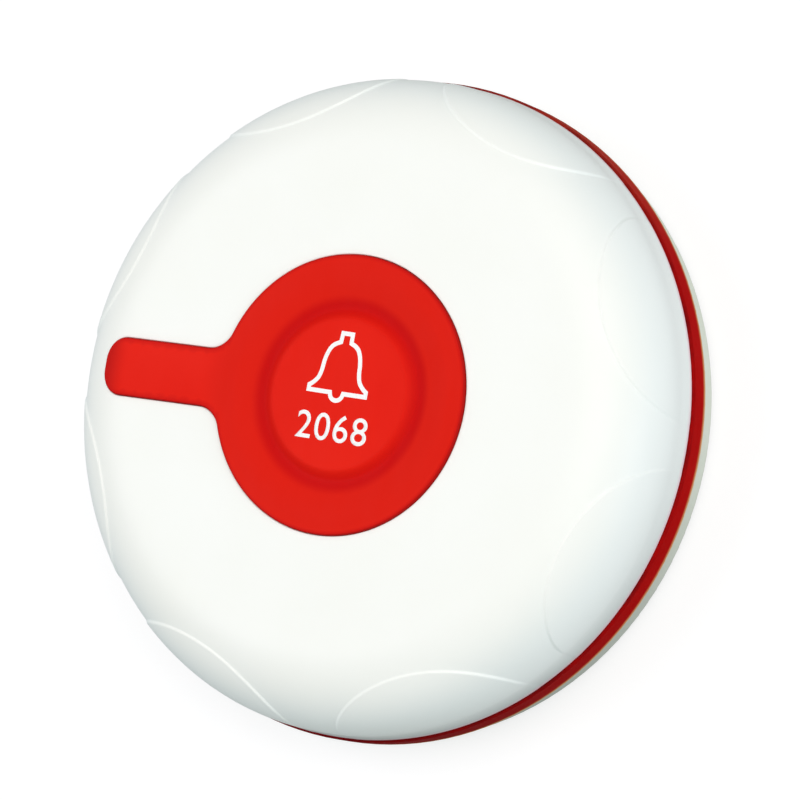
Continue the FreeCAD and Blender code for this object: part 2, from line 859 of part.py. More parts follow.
def screw(name, radius, length, head_radius, head_height, head_level, upside_down, x, y):
    """A pan-head screw with a cross drive. head_level is the underside of its head."""
    shank_low = head_level if upside_down else head_level - length
    head_low = head_level - head_height if upside_down else head_level
    shank = rod(name + "_shank", radius, shank_low, length, x, y)
    head = rod(name + "_head", head_radius, head_low, head_height, x, y)
    drive_low = head_low - s.drive_depth if upside_down else head_low + head_height - s.drive_depth
    arm = head_radius + s.drive_width
    slots = [
        block(name + "_drive_x", x, y, drive_low, arm, s.drive_width, s.drive_depth * 2),
        block(name + "_drive_y", x, y, drive_low, s.drive_width, arm, s.drive_depth * 2),
    ]
    return cut(name, fuse(name + "_solid", [shank, head]), slots)


def make_case_screws():
    screws = []
    for index, angle in enumerate(even_angles(s.case_screw_count, CASE_SCREW_ANGLE)):
        x, y = on_circle(case_screw_circle, angle)
        head = (s.case_head_radius, s.case_head_height, case_head_top, True)
        screws.append(screw(f"case_screw_{index}", s.case_screw_radius, s.case_screw_length, *head, x, y))
    return group("case_screws", screws)


# --- mounting plate --------------------------------------------------------------------------


def make_plate():
    """The twist-off plate: lugs at its edge, a seal groove, two countersunk holes, a seat for the pad."""
    disc = rod("plate_disc", plate_radius, plate_bottom, s.plate_thickness)
    pieces = [disc]
    for index, angle in enumerate(even_angles(s.lock_count, BELL_ANGLE)):
        inner = plate_radius - s.lug_reach
        outer = plate_radius + s.lug_reach
        pieces.append(sector(f"lug_{index}", inner, outer, lug_level, s.lug_height, s.lug_sweep, angle))
    groove_half = s.seal_section + s.seal_side_gap
    groove_low = plate_top - s.seal_groove_depth
    groove = cut(
        "seal_groove",
        rod("groove_outside", seal_radius + groove_half, groove_low, s.plate_thickness),
        [rod("groove_inside", seal_radius - groove_half, groove_low, s.plate_thickness)],
    )
    pad_seat = rod("pad_seat", adhesive_radius + s.assembly_gap, 0, s.adhesive_thickness)
    holes = [groove, pad_seat]
    for index, side in enumerate((-1, 1)):
        x = s.plate_hole_offset * side
        holes.append(rod(f"plate_hole_{index}", s.plate_hole_radius, 0, plate_top, x))
        sink_radii = (s.plate_hole_radius, s.countersink_radius)
        sink_low = plate_top - s.countersink_depth
        holes.append(cone(f"countersink_{index}", *sink_radii, sink_low, s.countersink_depth, x))
    return cut("mounting_plate", fuse("plate_solid", pieces), holes)


def make_adhesive():
    """The foam pad, with a hole under each hole of the plate."""
    holes = []
    for index, side in enumerate((-1, 1)):
        hole = (s.adhesive_hole_radius, 0, s.adhesive_thickness, s.plate_hole_offset * side)
        holes.append(rod(f"adhesive_hole_{index}", *hole))
    return cut("adhesive_pad", rod("adhesive_disc", adhesive_radius, 0, s.adhesive_thickness), holes)


def make_seal():
    seal = doc.addObject("Part::Torus", "plate_seal")
    bind(seal, Radius1=seal_radius, Radius2=s.seal_section)
    place(seal, z=plate_top - s.seal_groove_depth + s.seal_section)
    return seal


# --- battery ---------------------------------------------------------------------------------

positive_end = -bay_half_length + s.assembly_gap + s.contact_thickness
negative_end = bay_half_length - s.assembly_gap - s.contact_thickness
sleeve_end = positive_end + s.battery_nub + s.assembly_gap
can_length = s.battery_length - s.battery_nub


def lying_rod(name, radius, x, length, y, z):
    """A cylinder along X."""
    item = rod(name, radius, z, length, x, y)
    turn(item, 90, Vector(0, 1, 0))
    return item


def make_battery():
    """The battery's can, with the nub of its positive end."""
    axis = (-s.bay_offset, battery_level)
    can = lying_rod("battery_body", s.battery_radius - s.sleeve_thickness, sleeve_end, can_length, *axis)
    nub_start = positive_end + s.assembly_gap
    nub = lying_rod("battery_nub_rod", s.battery_nub_radius, nub_start, s.battery_nub * 2, *axis)
    return fuse("battery_can", [can, nub])


def make_sleeve():
    """The shrink sleeve round the can's side."""
    axis = (-s.bay_offset, battery_level)
    inner = s.battery_radius - s.sleeve_thickness
    length = can_length - s.sleeve_thickness
    outside = lying_rod("sleeve_outside", s.battery_radius, sleeve_end, length, *axis)
    inside = lying_rod("sleeve_inside", inner, sleeve_end - s.bay_wall, can_length + s.bay_wall * 2, *axis)
    return cut("battery_sleeve", outside, [inside])


def make_spring():
    """The conical spring behind the battery's flat end, of eight-sided wire."""
    helix = doc.addObject("Part::Helix", "spring_line")
    rise = s.spring_length - s.spring_wire * 2 - s.assembly_gap * 2
    bind(helix, Radius=s.spring_radius, Height=rise, Pitch=rise / s.spring_turns)
    bind(helix, Angle=-s.spring_cone_angle)
    section = doc.addObject("Part::RegularPolygon", "spring_section")
    section.Polygon = 8
    bind(section, Circumradius=s.spring_wire)
    place(section, x=s.spring_radius)
    turn(section, 90, Vector(1, 0, 0))
    sweep = doc.addObject("Part::Sweep", "battery_spring")
    sweep.Sections = [section]
    sweep.Spine = (helix, ["Edge1"])
    sweep.Solid = True
    sweep.Frenet = True
    place(sweep, negative_end - s.spring_wire - s.assembly_gap, -s.bay_offset, battery_level)
    turn(sweep, -90, Vector(0, 1, 0))
    return sweep


def make_contact(name, side):
    """A flat contact at one end of the bay, with a tail that is soldered into the board."""
    x = side * (bay_half_length - s.assembly_gap - s.contact_thickness / 2)
    tail_end = -s.bay_offset + bay_outer_width + s.contact_tail_reach
    tail_start = -s.bay_offset + s.contact_half_width - s.contact_tail_width
    sheet_width = s.contact_thickness
    blade_level = battery_level - s.contact_height / 2
    blade_size = (sheet_width, s.contact_half_width * 2, s.contact_height)
    blade = block(name + "_blade", x, -s.bay_offset, blade_level, *blade_size)
    tail_middle = (tail_start + tail_end) / 2
    tail_size = (sheet_width, tail_end - tail_start, s.contact_tail_width)
    tail = block(name + "_tail", x, tail_middle, contact_tail_level, *tail_size)
    pin_height = board_top + s.lead_stub / 2 - contact_tail_level
    pin_size = (sheet_width, sheet_width * 2, pin_height)
    pin = block(name + "_pin", x, tail_end - sheet_width, contact_tail_level, *pin_size)
    return fuse(name, [blade, tail, pin])


# --- circuit board ---------------------------------------------------------------------------

board_edge = -s.bay_offset + bay_outer_width + s.board_gap
terminal_x = s.switch_width / 2 + s.assembly_gap + s.terminal_thickness / 2
contact_pin_x = bay_half_length - s.assembly_gap - s.contact_thickness / 2
contact_pin_y = -s.bay_offset + bay_outer_width + s.contact_tail_reach - s.contact_thickness
antenna_angles = (BELL_ANGLE - s.antenna_sweep / 2, BELL_ANGLE + s.antenna_sweep / 2)


def antenna_feet():
    return [on_circle(antenna_radius, angle.value) for angle in antenna_angles]


def terminal_places():
    return [(terminal_x * side, s.terminal_pitch / 2 * row) for side in (-1, 1) for row in (-1, 1)]


def lamp_lead_places():
    return [(-lamp_offset, s.lamp_lead_pitch / 2 * side) for side in (-1, 1)]


def make_board():
    """A disc with one straight edge beside the battery bay."""
    disc = rod("board_disc", board_radius, board_level, s.board_thickness)
    edge_width = board_radius + board_edge
    trim_size = (board_radius * 2, edge_width, s.board_thickness)
    trim = block("board_trim", 0, board_edge - edge_width / 2, board_level, *trim_size)
    holes = [trim]
    lamp_lead_half_diagonal = s.lamp_lead_width * math.hypot(0.5, 0.5)
    contact_pin_half_diagonal = s.contact_thickness * math.hypot(0.5, 1.0)
    screw_places = [on_circle(board_screw_circle, angle) for angle in BOARD_SCREW_ANGLES]
    contact_places = [(contact_pin_x * side, contact_pin_y) for side in (-1, 1)]
    drills = [(place, s.terminal_width / 2 + s.lead_gap) for place in terminal_places()]
    drills += [(place, lamp_lead_half_diagonal + s.lead_gap) for place in lamp_lead_places()]
    drills += [(place, contact_pin_half_diagonal + s.lead_gap) for place in contact_places]
    drills += [(place, s.board_screw_radius + s.screw_clearance) for place in screw_places]
    drills += [(place, s.antenna_wire + s.lead_gap) for place in antenna_feet()]
    for index, ((x, y), radius) in enumerate(drills):
        holes.append(rod(f"board_hole_{index}", radius, board_level, s.board_thickness, x, y))
    return cut("circuit_board", disc, holes)


def make_board_screws():
    screws = []
    for index, angle in enumerate(BOARD_SCREW_ANGLES):
        x, y = on_circle(board_screw_circle, angle)
        shank = (s.board_screw_radius, s.board_screw_length)
        head = (s.board_head_radius, s.board_head_height, board_top, False)
        screws.append(screw(f"board_screw_{index}", *shank, *head, x, y))
    return group("board_screws", screws)


# --- push switch -----------------------------------------------------------------------------

switch_top = board_top + s.switch_height
switch_well = switch_top - s.switch_well_depth


def make_switch_body():
    body = block("switch_block", 0, 0, board_top, s.switch_width, s.switch_width, s.switch_height)
    return cut("switch_body", body, [rod("switch_well", s.switch_well_radius, switch_well, s.switch_height)])


def make_switch_cover():
    plate = block("cover_plate", 0, 0, switch_top, s.switch_width, s.switch_width, s.switch_cover)
    hole = rod("cover_hole", s.stem_radius + s.lead_gap, switch_top, s.switch_cover)
    return cut("switch_cover", plate, [hole])


def make_stem():
    flange_top = switch_top - s.assembly_gap
    return lathe(
        "switch_stem",
        [
            (0, flange_top - s.stem_flange),
            (s.stem_flange_radius, flange_top - s.stem_flange),
            (s.stem_flange_radius, flange_top),
            (s.stem_radius, flange_top),
            (s.stem_radius, stem_top),
            (0, stem_top),
        ],
    )


def make_snap_dome():
    """The snap dome under the stem, as a shallow cup."""
    low = switch_well + s.assembly_gap
    crest = low + s.snap_height
    return lathe(
        "switch_dome",
        [
            (0, crest - s.snap_thickness),
            (s.snap_radius / 2, crest - s.snap_thickness),
            (s.snap_radius - s.snap_thickness, low),
            (s.snap_radius, low),
            (s.snap_radius / 2, crest),
            (0, crest),
        ],
    )


def make_terminals():
    size = (s.terminal_thickness, s.terminal_width, board_top + s.terminal_height - lead_level)
    terminals = []
    for index, (x, y) in enumerate(terminal_places()):
        terminals.append(block(f"terminal_{index}", x, y, lead_level, *size))
    return group("switch_terminals", terminals)


# --- signal lamp -----------------------------------------------------------------------------

lamp_low = board_top + s.lamp_standoff
lamp_top = lamp_low + s.lamp_height


def make_lamp():
    x = -lamp_offset
    rim = rod("lamp_rim", s.lamp_rim_radius, lamp_low, s.lamp_rim, x)
    body = rod("lamp_body", s.lamp_radius, lamp_low, s.lamp_height - s.lamp_radius, x)
    tip = doc.addObject("Part::Sphere", "lamp_tip")
    bind(tip, Radius=s.lamp_radius)
    place(tip, x, 0, lamp_top - s.lamp_radius)
    return fuse("signal_lamp", [rim, body, tip])


def make_lamp_leads():
    size = (s.lamp_lead_width, s.lamp_lead_width, lamp_low - lead_level)
    leads = []
    for index, (x, y) in enumerate(lamp_lead_places()):
        leads.append(block(f"lamp_lead_{index}", x, y, lead_level, *size))
    return group("lamp_leads", leads)


def make_light_guide():
    """A clear rod from the lamp to the underside of the tail, with a flange under the shell's ceiling."""
    x = -lamp_offset
    low = lamp_top + s.guide_to_lamp
    far = (lamp_offset + s.guide_radius) / s.case_radius
    high = top_level - s.crown * far * far - s.face_inlay - s.assembly_gap
    stem = rod("guide_stem", s.guide_radius, low, high - low, x)
    flange_low = ceiling_level - s.guide_flange
    flange = rod("guide_flange_disc", s.guide_flange_radius, flange_low, s.guide_flange, x)
    return fuse("light_guide", [stem, flange])


# --- radio parts -----------------------------------------------------------------------------


def make_chip():
    x, y = CHIP_PLACE
    size = (s.chip_length, s.chip_width, s.chip_height)
    return block("encoder_chip", x, y, board_top + s.chip_standoff, *size)


def make_chip_leads():
    """Eight gull-wing leads, each a foot and a post beside the chip."""
    chip_x, chip_y = CHIP_PLACE
    size = (s.chip_lead_width, s.chip_lead_reach, s.chip_height / 2)
    leads = []
    for side in (-1, 1):
        for column in range(CHIP_COLUMNS):
            x = chip_x + s.chip_lead_pitch * (column - (CHIP_COLUMNS - 1) / 2)
            y = chip_y + side * (s.chip_width / 2 + s.chip_lead_reach / 2)
            leads.append(block(f"chip_lead_{len(leads)}", x, y, board_top, *size))
    return group("chip_leads", leads)


def make_can():
    x, y = CAN_PLACE
    rim = rod("can_rim", s.can_rim_radius, board_top, s.can_rim, x, y)
    return fuse("resonator_can", [rim, rod("can_body", s.can_radius, board_top, s.can_height, x, y)])


def make_transistor():
    x, y = TRANSISTOR_PLACE
    return block("transistor", x, y, board_top, s.transistor_length, s.transistor_width, s.transistor_height)


def small_parts(name, places, height):
    """Small soldered parts of one kind, each a block on the board."""
    size = (s.small_part_length, s.small_part_width, height)
    parts = [block(f"{name}_{index}", x, y, board_top, *size) for index, (x, y) in enumerate(places)]
    return group(name, parts)


def make_antenna():
    """A wire loop that stands on two feet at the board's rim."""
    loop_level = board_top + s.antenna_height
    arc = doc.addObject("Part::Torus", "antenna_arc")
    bind(arc, Radius1=antenna_radius, Radius2=s.antenna_wire)
    arc.setExpression("Angle3", s.antenna_sweep.text)
    place(arc, z=loop_level)
    arc.setExpression("Placement.Rotation.Angle", antenna_angles[0].text)
    pieces = [arc]
    foot_height = loop_level - lead_level
    for index, (x, y) in enumerate(antenna_feet()):
        pieces.append(rod(f"antenna_foot_{index}", s.antenna_wire, lead_level, foot_height, x, y))
        corner = doc.addObject("Part::Sphere", f"antenna_corner_{index}")
        bind(corner, Radius=s.antenna_wire)
        place(corner, x, y, loop_level)
        pieces.append(corner)
    return fuse("antenna_loop", pieces)


# --- the whole button ------------------------------------------------------------------------

NODES = {
    "top_shell": make_top_shell(),
    "face_membrane": make_face(),
    "button_pad": make_pad(),
    "button_web": make_web(),
    "button_plunger": make_plunger(),
    "case_gasket": make_gasket(),
    "base_shell": make_base(),
    "case_screws": make_case_screws(),
    "mounting_plate": make_plate(),
    "plate_seal": make_seal(),
    "adhesive_pad": make_adhesive(),
    "battery_can": make_battery(),
    "battery_sleeve": make_sleeve(),
    "battery_spring": make_spring(),
    "contact_positive": make_contact("contact_positive", -1),
    "contact_negative": make_contact("contact_negative", 1),
    "circuit_board": make_board(),
    "board_screws": make_board_screws(),
    "switch_body": make_switch_body(),
    "switch_cover": make_switch_cover(),
    "switch_stem": make_stem(),
    "switch_dome": make_snap_dome(),
    "switch_terminals": make_terminals(),
    "signal_lamp": make_lamp(),
    "lamp_leads": make_lamp_leads(),
    "light_guide": make_light_guide(),
    "encoder_chip": make_chip(),
    "chip_leads": make_chip_leads(),
    "resonator_can": make_can(),
    "transistor": make_transistor(),
    "capacitors": small_parts("capacitors", CAPACITOR_PLACES, s.small_part_width),
    "resistors": small_parts("resistors", RESISTOR_PLACES, s.small_part_height),
    "antenna_loop": make_antenna(),
}

doc.recompute()

for name, item in NODES.items():
    item.Label = name

failed = [item for item in doc.Objects if {"Invalid", "Error"} & set(item.State)]
if failed:
    raise SystemExit("\n".join(f"{item.Name} failed: {item.getStatusString()}" for item in failed))
for name, item in NODES.items():
    if item.Shape.isNull() or not item.Shape.isValid() or not item.Shape.Solids:
        raise SystemExit(f"{name} has no valid shape")

os.makedirs("parts", exist_ok=True)
for name, item in NODES.items():
    item.Shape.exportStep(f"parts/{name}.step")
    print(f"{name}: {len(item.Shape.Solids)} solids, {item.Shape.Volume:.2f} mm3")
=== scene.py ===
import json
import math

import bmesh
import bpy
from mathutils import Matrix, Vector, geometry, kdtree


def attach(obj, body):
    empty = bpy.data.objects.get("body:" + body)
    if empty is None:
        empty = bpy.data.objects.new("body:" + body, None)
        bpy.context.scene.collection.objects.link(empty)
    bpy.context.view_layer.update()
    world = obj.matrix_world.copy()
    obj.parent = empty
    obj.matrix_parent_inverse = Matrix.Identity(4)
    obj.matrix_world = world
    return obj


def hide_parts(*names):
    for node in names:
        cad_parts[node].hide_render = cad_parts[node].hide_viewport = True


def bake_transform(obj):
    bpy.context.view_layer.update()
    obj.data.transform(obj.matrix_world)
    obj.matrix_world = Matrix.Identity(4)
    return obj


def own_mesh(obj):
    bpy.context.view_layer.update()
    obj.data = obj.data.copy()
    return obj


# A wireless table call button in its finishes. Sizes are in millimetres until a mesh is made,
# and in metres after that. The axis of the case is Z, and the tail of the face points to -X.

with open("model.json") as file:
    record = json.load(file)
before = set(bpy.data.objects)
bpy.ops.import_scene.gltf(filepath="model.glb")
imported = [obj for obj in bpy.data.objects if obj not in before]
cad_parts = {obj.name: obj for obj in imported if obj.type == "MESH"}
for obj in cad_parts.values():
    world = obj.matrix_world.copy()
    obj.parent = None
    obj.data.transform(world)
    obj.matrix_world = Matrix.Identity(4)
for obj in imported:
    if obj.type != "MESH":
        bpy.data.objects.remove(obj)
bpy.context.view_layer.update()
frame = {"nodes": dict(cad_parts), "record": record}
nodes = frame["nodes"]

MM = 0.001

# --- sizes of the case ---

CASE_RADIUS = 42.0
SEAM_LEVEL = 7.6
SEAM_FLARE = 0.3
FLARE_HEIGHT = 2.6
FLARE_POWER = 1.4
TOP_LEVEL = 21.5
CROWN = 1.0
SHOULDER_RADIUS = 10.2
SHELL_WALL = 2.0
CEILING_LEVEL = 18.6
RIM_ROUND = 0.25

PETAL_COUNT = 8
PETAL_RADIUS = 27.0
PETAL_DISTANCE = 63.5
PETAL_RAISE = 0.5  # difference between the two shoulder radii, which makes the raised form
PETAL_PROUD = 0.03
PETAL_RIM_WIDTH = 0.32
PETAL_INNER_RADIUS = 34.2  # the petals raise nothing within this radius
SKIN_REACH = 9.8  # the skin lies farther than this from the shoulder's centre, the cavity nearer
SKIN_WALL_RADIUS = 41.1  # the same on the wall, from the axis

FACE_RADIUS = 17.8
FACE_RAISE = 0.35
FACE_INLAY = 1.3
FACE_GAP = 0.05
FACE_ROUND = 0.22
SEAT_CLEARANCE = 0.02
TAIL_REACH = 35.45
TAIL_HALF_WIDTH = 3.75
TAIL_CORNER = 3.1
NECK_RADIUS = 3.5
DISH_RADIUS = 15.6
DISH_DEPTH = 0.5
DISH_SWEEP = 1.6
SEAT_ROUND = 0.16
DECK_HOLE_RADIUS = 14.0
SKIRT_WALL = 1.3
BEAD_OVERHANG = 1.0
BEAD_HEIGHT = 0.9

WEB_RADIUS = 12.3
WEB_THICKNESS = 0.5
GROOVE_LEVEL = 21.0
FOOT_RADIUS = 11.0
PAD_RADIUS = 10.0
PAD_TOP = 21.95
PAD_CROWN = 0.35
PAD_SHOULDER_START = 9.4
PAD_SHOULDER_END = 10.95
PAD_BOTTOM = 18.25
PAD_POCKET_RADIUS = 7.65
PAD_POCKET_LEVEL = 19.45

PRINT_HEIGHT = 0.03
PRINT_STROKE = 0.56
PRINT_TURN = math.radians(-1.0)
PRINT_SHIFT = -0.1
PRINT_GRID = 0.55
NUMBER = "2068"
NUMBER_HEIGHT = 3.45
NUMBER_PLACE = (0.15, -6.0)

# --- how finely the round forms are cut ---

RIM_COUNT = 480
DECK_COUNT = 160  # RIM_COUNT is a whole multiple of it
ROUND_COUNT = 192
SKIRT_COUNT = 128
SHARP_ANGLE = math.radians(50)
PETAL_RIM_STEPS = 44
PETAL_RIM_ROWS = (0.07, 0.22, 0.42, 0.66, 0.95)  # shares of the rim's width, on each side of its middle
PETAL_END_MARGIN = 0.2
SKIN_END_MARGIN = 0.45
PETAL_CLEARANCE = 0.5

# The points inside a face: their first radius, their spacing and their clearance from its outlines.
SKIN_POINTS = (18.6, 0.75, 0.3)
DECK_POINTS = (15.0, 1.3, 0.5)
FACE_POINTS = (16.0, 0.6, 0.32)
UNDERSIDE_POINTS = (13.5, 1.4, 0.6)

# --- where the shades of the finishes lie ---

# levels of the band's painted lip highlight and of the painted warm bounce on the base below it
GASKET_LIP_HIGHLIGHT_LEVEL = 4.4
BASE_BOUNCE_LEVEL = 3.0
# where the painted shade down the shell's wall starts
SHELL_SHADE_LEVEL = 11.2
# levels over which the painted cool shade runs down the shell's shoulder
COOL_SHADE_START_LEVEL = 20.7
COOL_SHADE_END_LEVEL = 15.0
FACE_SHADE = (10.4, 12.2, 16.5, 20.5)  # radii where a ring starts, is full, starts to fade and ends
# the groove's ring: partly the thin silicone's deeper red, partly painted shade
GROOVE_SHADE = (9.0, 11.3, 11.5, 12.9)
# where the painted shade on the tail's end starts and is full
TAIL_SHADE = (-31.5, -35.5)
EDGE_PAINTED_SHADES = (1.0, 1.0, 1.0, 0.95, 0.85, 0.7, 0.5)  # round the face's edge, from its underside up
SLEEVE_BAND = -8.5
WHOLE_HEIGHT = {"Clean_level": 20.0 * MM, "Soiled_level": 19.5 * MM}  # both above the band and the base

# --- the case's form ---


def seam_flare(level):
    """How far the wall stands out near the seam."""
    share = max(0.0, 1.0 - (level - SEAM_LEVEL) / FLARE_HEIGHT)
    return SEAM_FLARE * share ** FLARE_POWER


class Dome:
    """The case's outer form: a crowned top, a round shoulder and a straight wall, offset outwards."""

    def __init__(self, offset=0.0):
        self.wall = CASE_RADIUS + offset
        self.shoulder = SHOULDER_RADIUS + offset
        self.crown_radius = (self.wall ** 2 + CROWN ** 2) / (2 * CROWN)
        self.crown_centre = TOP_LEVEL + offset - self.crown_radius
        self.centre_radius = self.wall - self.shoulder
        reach = self.crown_radius - self.shoulder
        self.centre_level = self.crown_centre + math.sqrt(reach ** 2 - self.centre_radius ** 2)
        self.first_angle = math.asin(self.centre_radius / reach)
        self.crown_length = self.crown_radius * self.first_angle
        self.shoulder_length = self.shoulder * (math.pi / 2 - self.first_angle)
        self.wall_length = self.centre_level - SEAM_LEVEL

    def at_length(self, length):
        """Radius and level at this distance from the top's middle, along the surface."""
        if length <= self.crown_length:
            angle = length / self.crown_radius
            level = self.crown_centre + self.crown_radius * math.cos(angle)
            return self.crown_radius * math.sin(angle), level
        length -= self.crown_length
        if length <= self.shoulder_length:
            angle = self.first_angle + length / self.shoulder
            level = self.centre_level + self.shoulder * math.cos(angle)
            return self.centre_radius + self.shoulder * math.sin(angle), level
        level = self.centre_level - (length - self.shoulder_length)
        return self.wall + seam_flare(level), level

    def length_at(self, radius):
        if radius <= self.crown_radius * math.sin(self.first_angle):
            return self.crown_radius * math.asin(radius / self.crown_radius)
        angle = math.asin(min(1.0, (radius - self.centre_radius) / self.shoulder))
        return self.crown_length + self.shoulder * (angle - self.first_angle)

    def level(self, radius):
        return self.at_length(self.length_at(radius))[1]


# --- outlines and meshes ---


def arc(centre, radius, start, end, count):
    """Points along an arc, without its last one."""
    angles = [start + (end - start) * index / count for index in range(count)]
    return [(centre[0] + radius * math.cos(a), centre[1] + radius * math.sin(a)) for a in angles]


def line(start, end, count):
    """Points along a straight line, without its last one."""
    return [tuple(a + (b - a) * index / count for a, b in zip(start, end)) for index in range(count)]


def circle(radius, count):
    return arc((0, 0), radius, 0.0, math.tau, count)


def quarter_round(radius, steps, first=0):
    """Along a rounded edge, how far each point lies inside the face it leaves and the face it reaches."""
    bends = [math.pi / 2 * step / steps for step in range(first, steps + 1)]
    return [(radius * (1 - math.cos(bend)), radius * (1 - math.sin(bend))) for bend in bends]


def face_outline(grow):
    """The red face's outline, a disc with a tail, grown outwards. Its points stay alike at any growth."""
    disc = FACE_RADIUS + grow
    half = TAIL_HALF_WIDTH + grow
    end = TAIL_REACH + grow
    corner = TAIL_CORNER + grow
    neck = NECK_RADIUS - grow
    neck_y = half + neck
    neck_x = -math.sqrt((disc + neck) ** 2 - neck_y ** 2)
    meeting = math.atan2(neck_y, neck_x)
    inward = math.atan2(-neck_y, -neck_x)
    points = arc((0, 0), disc, -meeting, meeting, 300)
    points += arc((neck_x, neck_y), neck, inward, -math.pi / 2, 18)
    points += line((neck_x, half), (corner - end, half), 36)
    points += arc((corner - end, half - corner), corner, math.pi / 2, math.pi, 18)
    points += line((-end, half - corner), (-end, corner - half), 3)
    points += arc((corner - end, corner - half), corner, math.pi, math.pi * 1.5, 18)
    points += line((corner - end, -half), (neck_x, -half), 36)
    points += arc((neck_x, -neck_y), neck, math.pi / 2, -inward, 18)
    return points


def is_inside(point, outline):
    x, y = point
    inside = False
    for (x1, y1), (x2, y2) in zip(outline, outline[1:] + outline[:1]):
        if (y1 > y) != (y2 > y) and x < x1 + (y - y1) / (y2 - y1) * (x2 - x1):
            inside = not inside
    return inside


def is_between(point, outer, inner):
    return is_inside(point, outer) and not is_inside(point, inner)


def loop_edges(count, first=0):
    """The edges of a closed outline whose points are numbered from first."""
    return [(first + index, first + (index + 1) % count) for index in range(count)]


def away_from(others, points, clearance):
    """The points that are farther than clearance from all the others."""
    tree = kdtree.KDTree(len(others))
    for index, (x, y) in enumerate(others):
        tree.insert((x, y, 0), index)
    tree.balance()
    return [point for point in points if tree.find((*point, 0))[2] > clearance]


def ring_points(inner, outer, spacing):
    """Points on rings about the axis, about as far apart along a ring as the rings are."""
    rows = max(1, round((outer - inner) / spacing))
    points = []
    for row in range(rows + 1):
        radius = inner + (outer - inner) * row / rows
        count = max(6, round(math.tau * radius / spacing))
        turn = 0.5 * (row % 2) * math.tau / count
        for index in range(count):
            angle = turn + math.tau * index / count
            points.append((radius * math.cos(angle), radius * math.sin(angle)))
    return points


def faces_between(points, outer, inner, tolerance):
    """The faces between two closed outlines, the points that they index, and where each point came from."""
    edges = loop_edges(len(outer)) + loop_edges(len(inner), len(outer))
    found, _, faces, origins, _, _ = geometry.delaunay_2d_cdt(points, edges, [], 0, tolerance)
    kept = []
    for face in faces:
        middle = sum((found[index] for index in face), Vector((0, 0))) / len(face)
        if is_between(middle, outer, inner):
            kept.append(face)
    return kept, found, origins


def triangulate(outer, inner, fillers, clearance):
    """Triangles between two closed outlines. Fillers nearer than clearance to an outline are left out."""
    fixed = outer + inner
    free = away_from(fixed, fillers, clearance)
    coords = [Vector(p) for p in fixed + [point for point in free if is_between(point, outer, inner)]]
    faces, _, origins = faces_between(coords, outer, inner, 1e-6)
    triangles = []
    for face in faces:
        corners = [origins[index][0] for index in face]
        a, b, c = (coords[index] for index in corners)
        upward = (b - a).cross(c - a) > 0
        triangles.append(corners if upward else corners[::-1])
    return [tuple(p) for p in coords], triangles


def triangulate_tailed(outer, inner, first, spacing, clearance):
    """The same for a face that runs out to the end of the tail."""
    return triangulate(outer, inner, ring_points(first, TAIL_REACH, spacing), clearance)


class Builder:
    """Gathers the points and faces of one mesh."""

    def __init__(self):
        self.points = []
        self.faces = []

    def add(self, points):
        first = len(self.points)
        self.points += points
        return list(range(first, first + len(points)))

    def add_circle(self, radius, level, count):
        return self.add([(x, y, level) for x, y in circle(radius, count)])

    def add_over(self, outline, dome, drop=0.0):
        """Points over an outline that lie on a dome, or so far below it."""
        return self.add([(x, y, dome.level(math.hypot(x, y)) - drop) for x, y in outline])

    def strips(self, rings):
        """Bands of quads between rings of indices. Seen from outside, each ring is above the next."""
        for upper, lower in zip(rings, rings[1:]):
            for a, b in loop_edges(len(upper)):
                corners = dict.fromkeys((upper[a], lower[a], lower[b], upper[b]))
                if len(corners) > 2:
                    self.faces.append(list(corners))

    def fill(self, triangles, indices, flip=False):
        for triangle in triangles:
            corners = [indices[index] for index in triangle]
            self.faces.append(corners[::-1] if flip else corners)

    def lathe(self, profile, count, closed=True):
        """Turns a profile of radius and level about the axis. It runs from the top outwards and down."""
        rings = []
        for radius, level in profile:
            ring = self.add_circle(radius, level, count) if radius else self.add([(0, 0, level)]) * count
            rings.append(ring)
        self.strips(rings + rings[:1] if closed else rings)

    def mesh(self, name):
        mesh = bpy.data.meshes.new(name)
        mesh.from_pydata([(x * MM, y * MM, z * MM) for x, y, z in self.points], [], self.faces)
        smooth_but_sharp(mesh)
        return mesh


def smooth_but_sharp(mesh):
    """Smooth shading that breaks along sharp edges."""
    mesh.shade_smooth()
    mesh.set_sharp_from_angle(angle=SHARP_ANGLE)


def new_object(name, data):
    made = bpy.data.objects.new(name, data)
    bpy.context.scene.collection.objects.link(made)
    return made


def evaluated_mesh(carrier, name):
    """The mesh that an object gives once its modifiers or its text are worked out."""
    depsgraph = bpy.context.evaluated_depsgraph_get()
    mesh = bpy.data.meshes.new_from_object(carrier.evaluated_get(depsgraph))
    mesh.name = name
    return mesh


def new_piece(name, mesh, slot, body, material=None):
    """A piece in its slot's finish, or in a material of its own, that rides on a body if one is given."""
    piece = new_object(name, mesh)
    material = material or FINISHES[slot]
    if material.name not in mesh.materials:
        mesh.materials.append(material)
    if body:
        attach(piece, body)
    return piece


# --- node trees ---


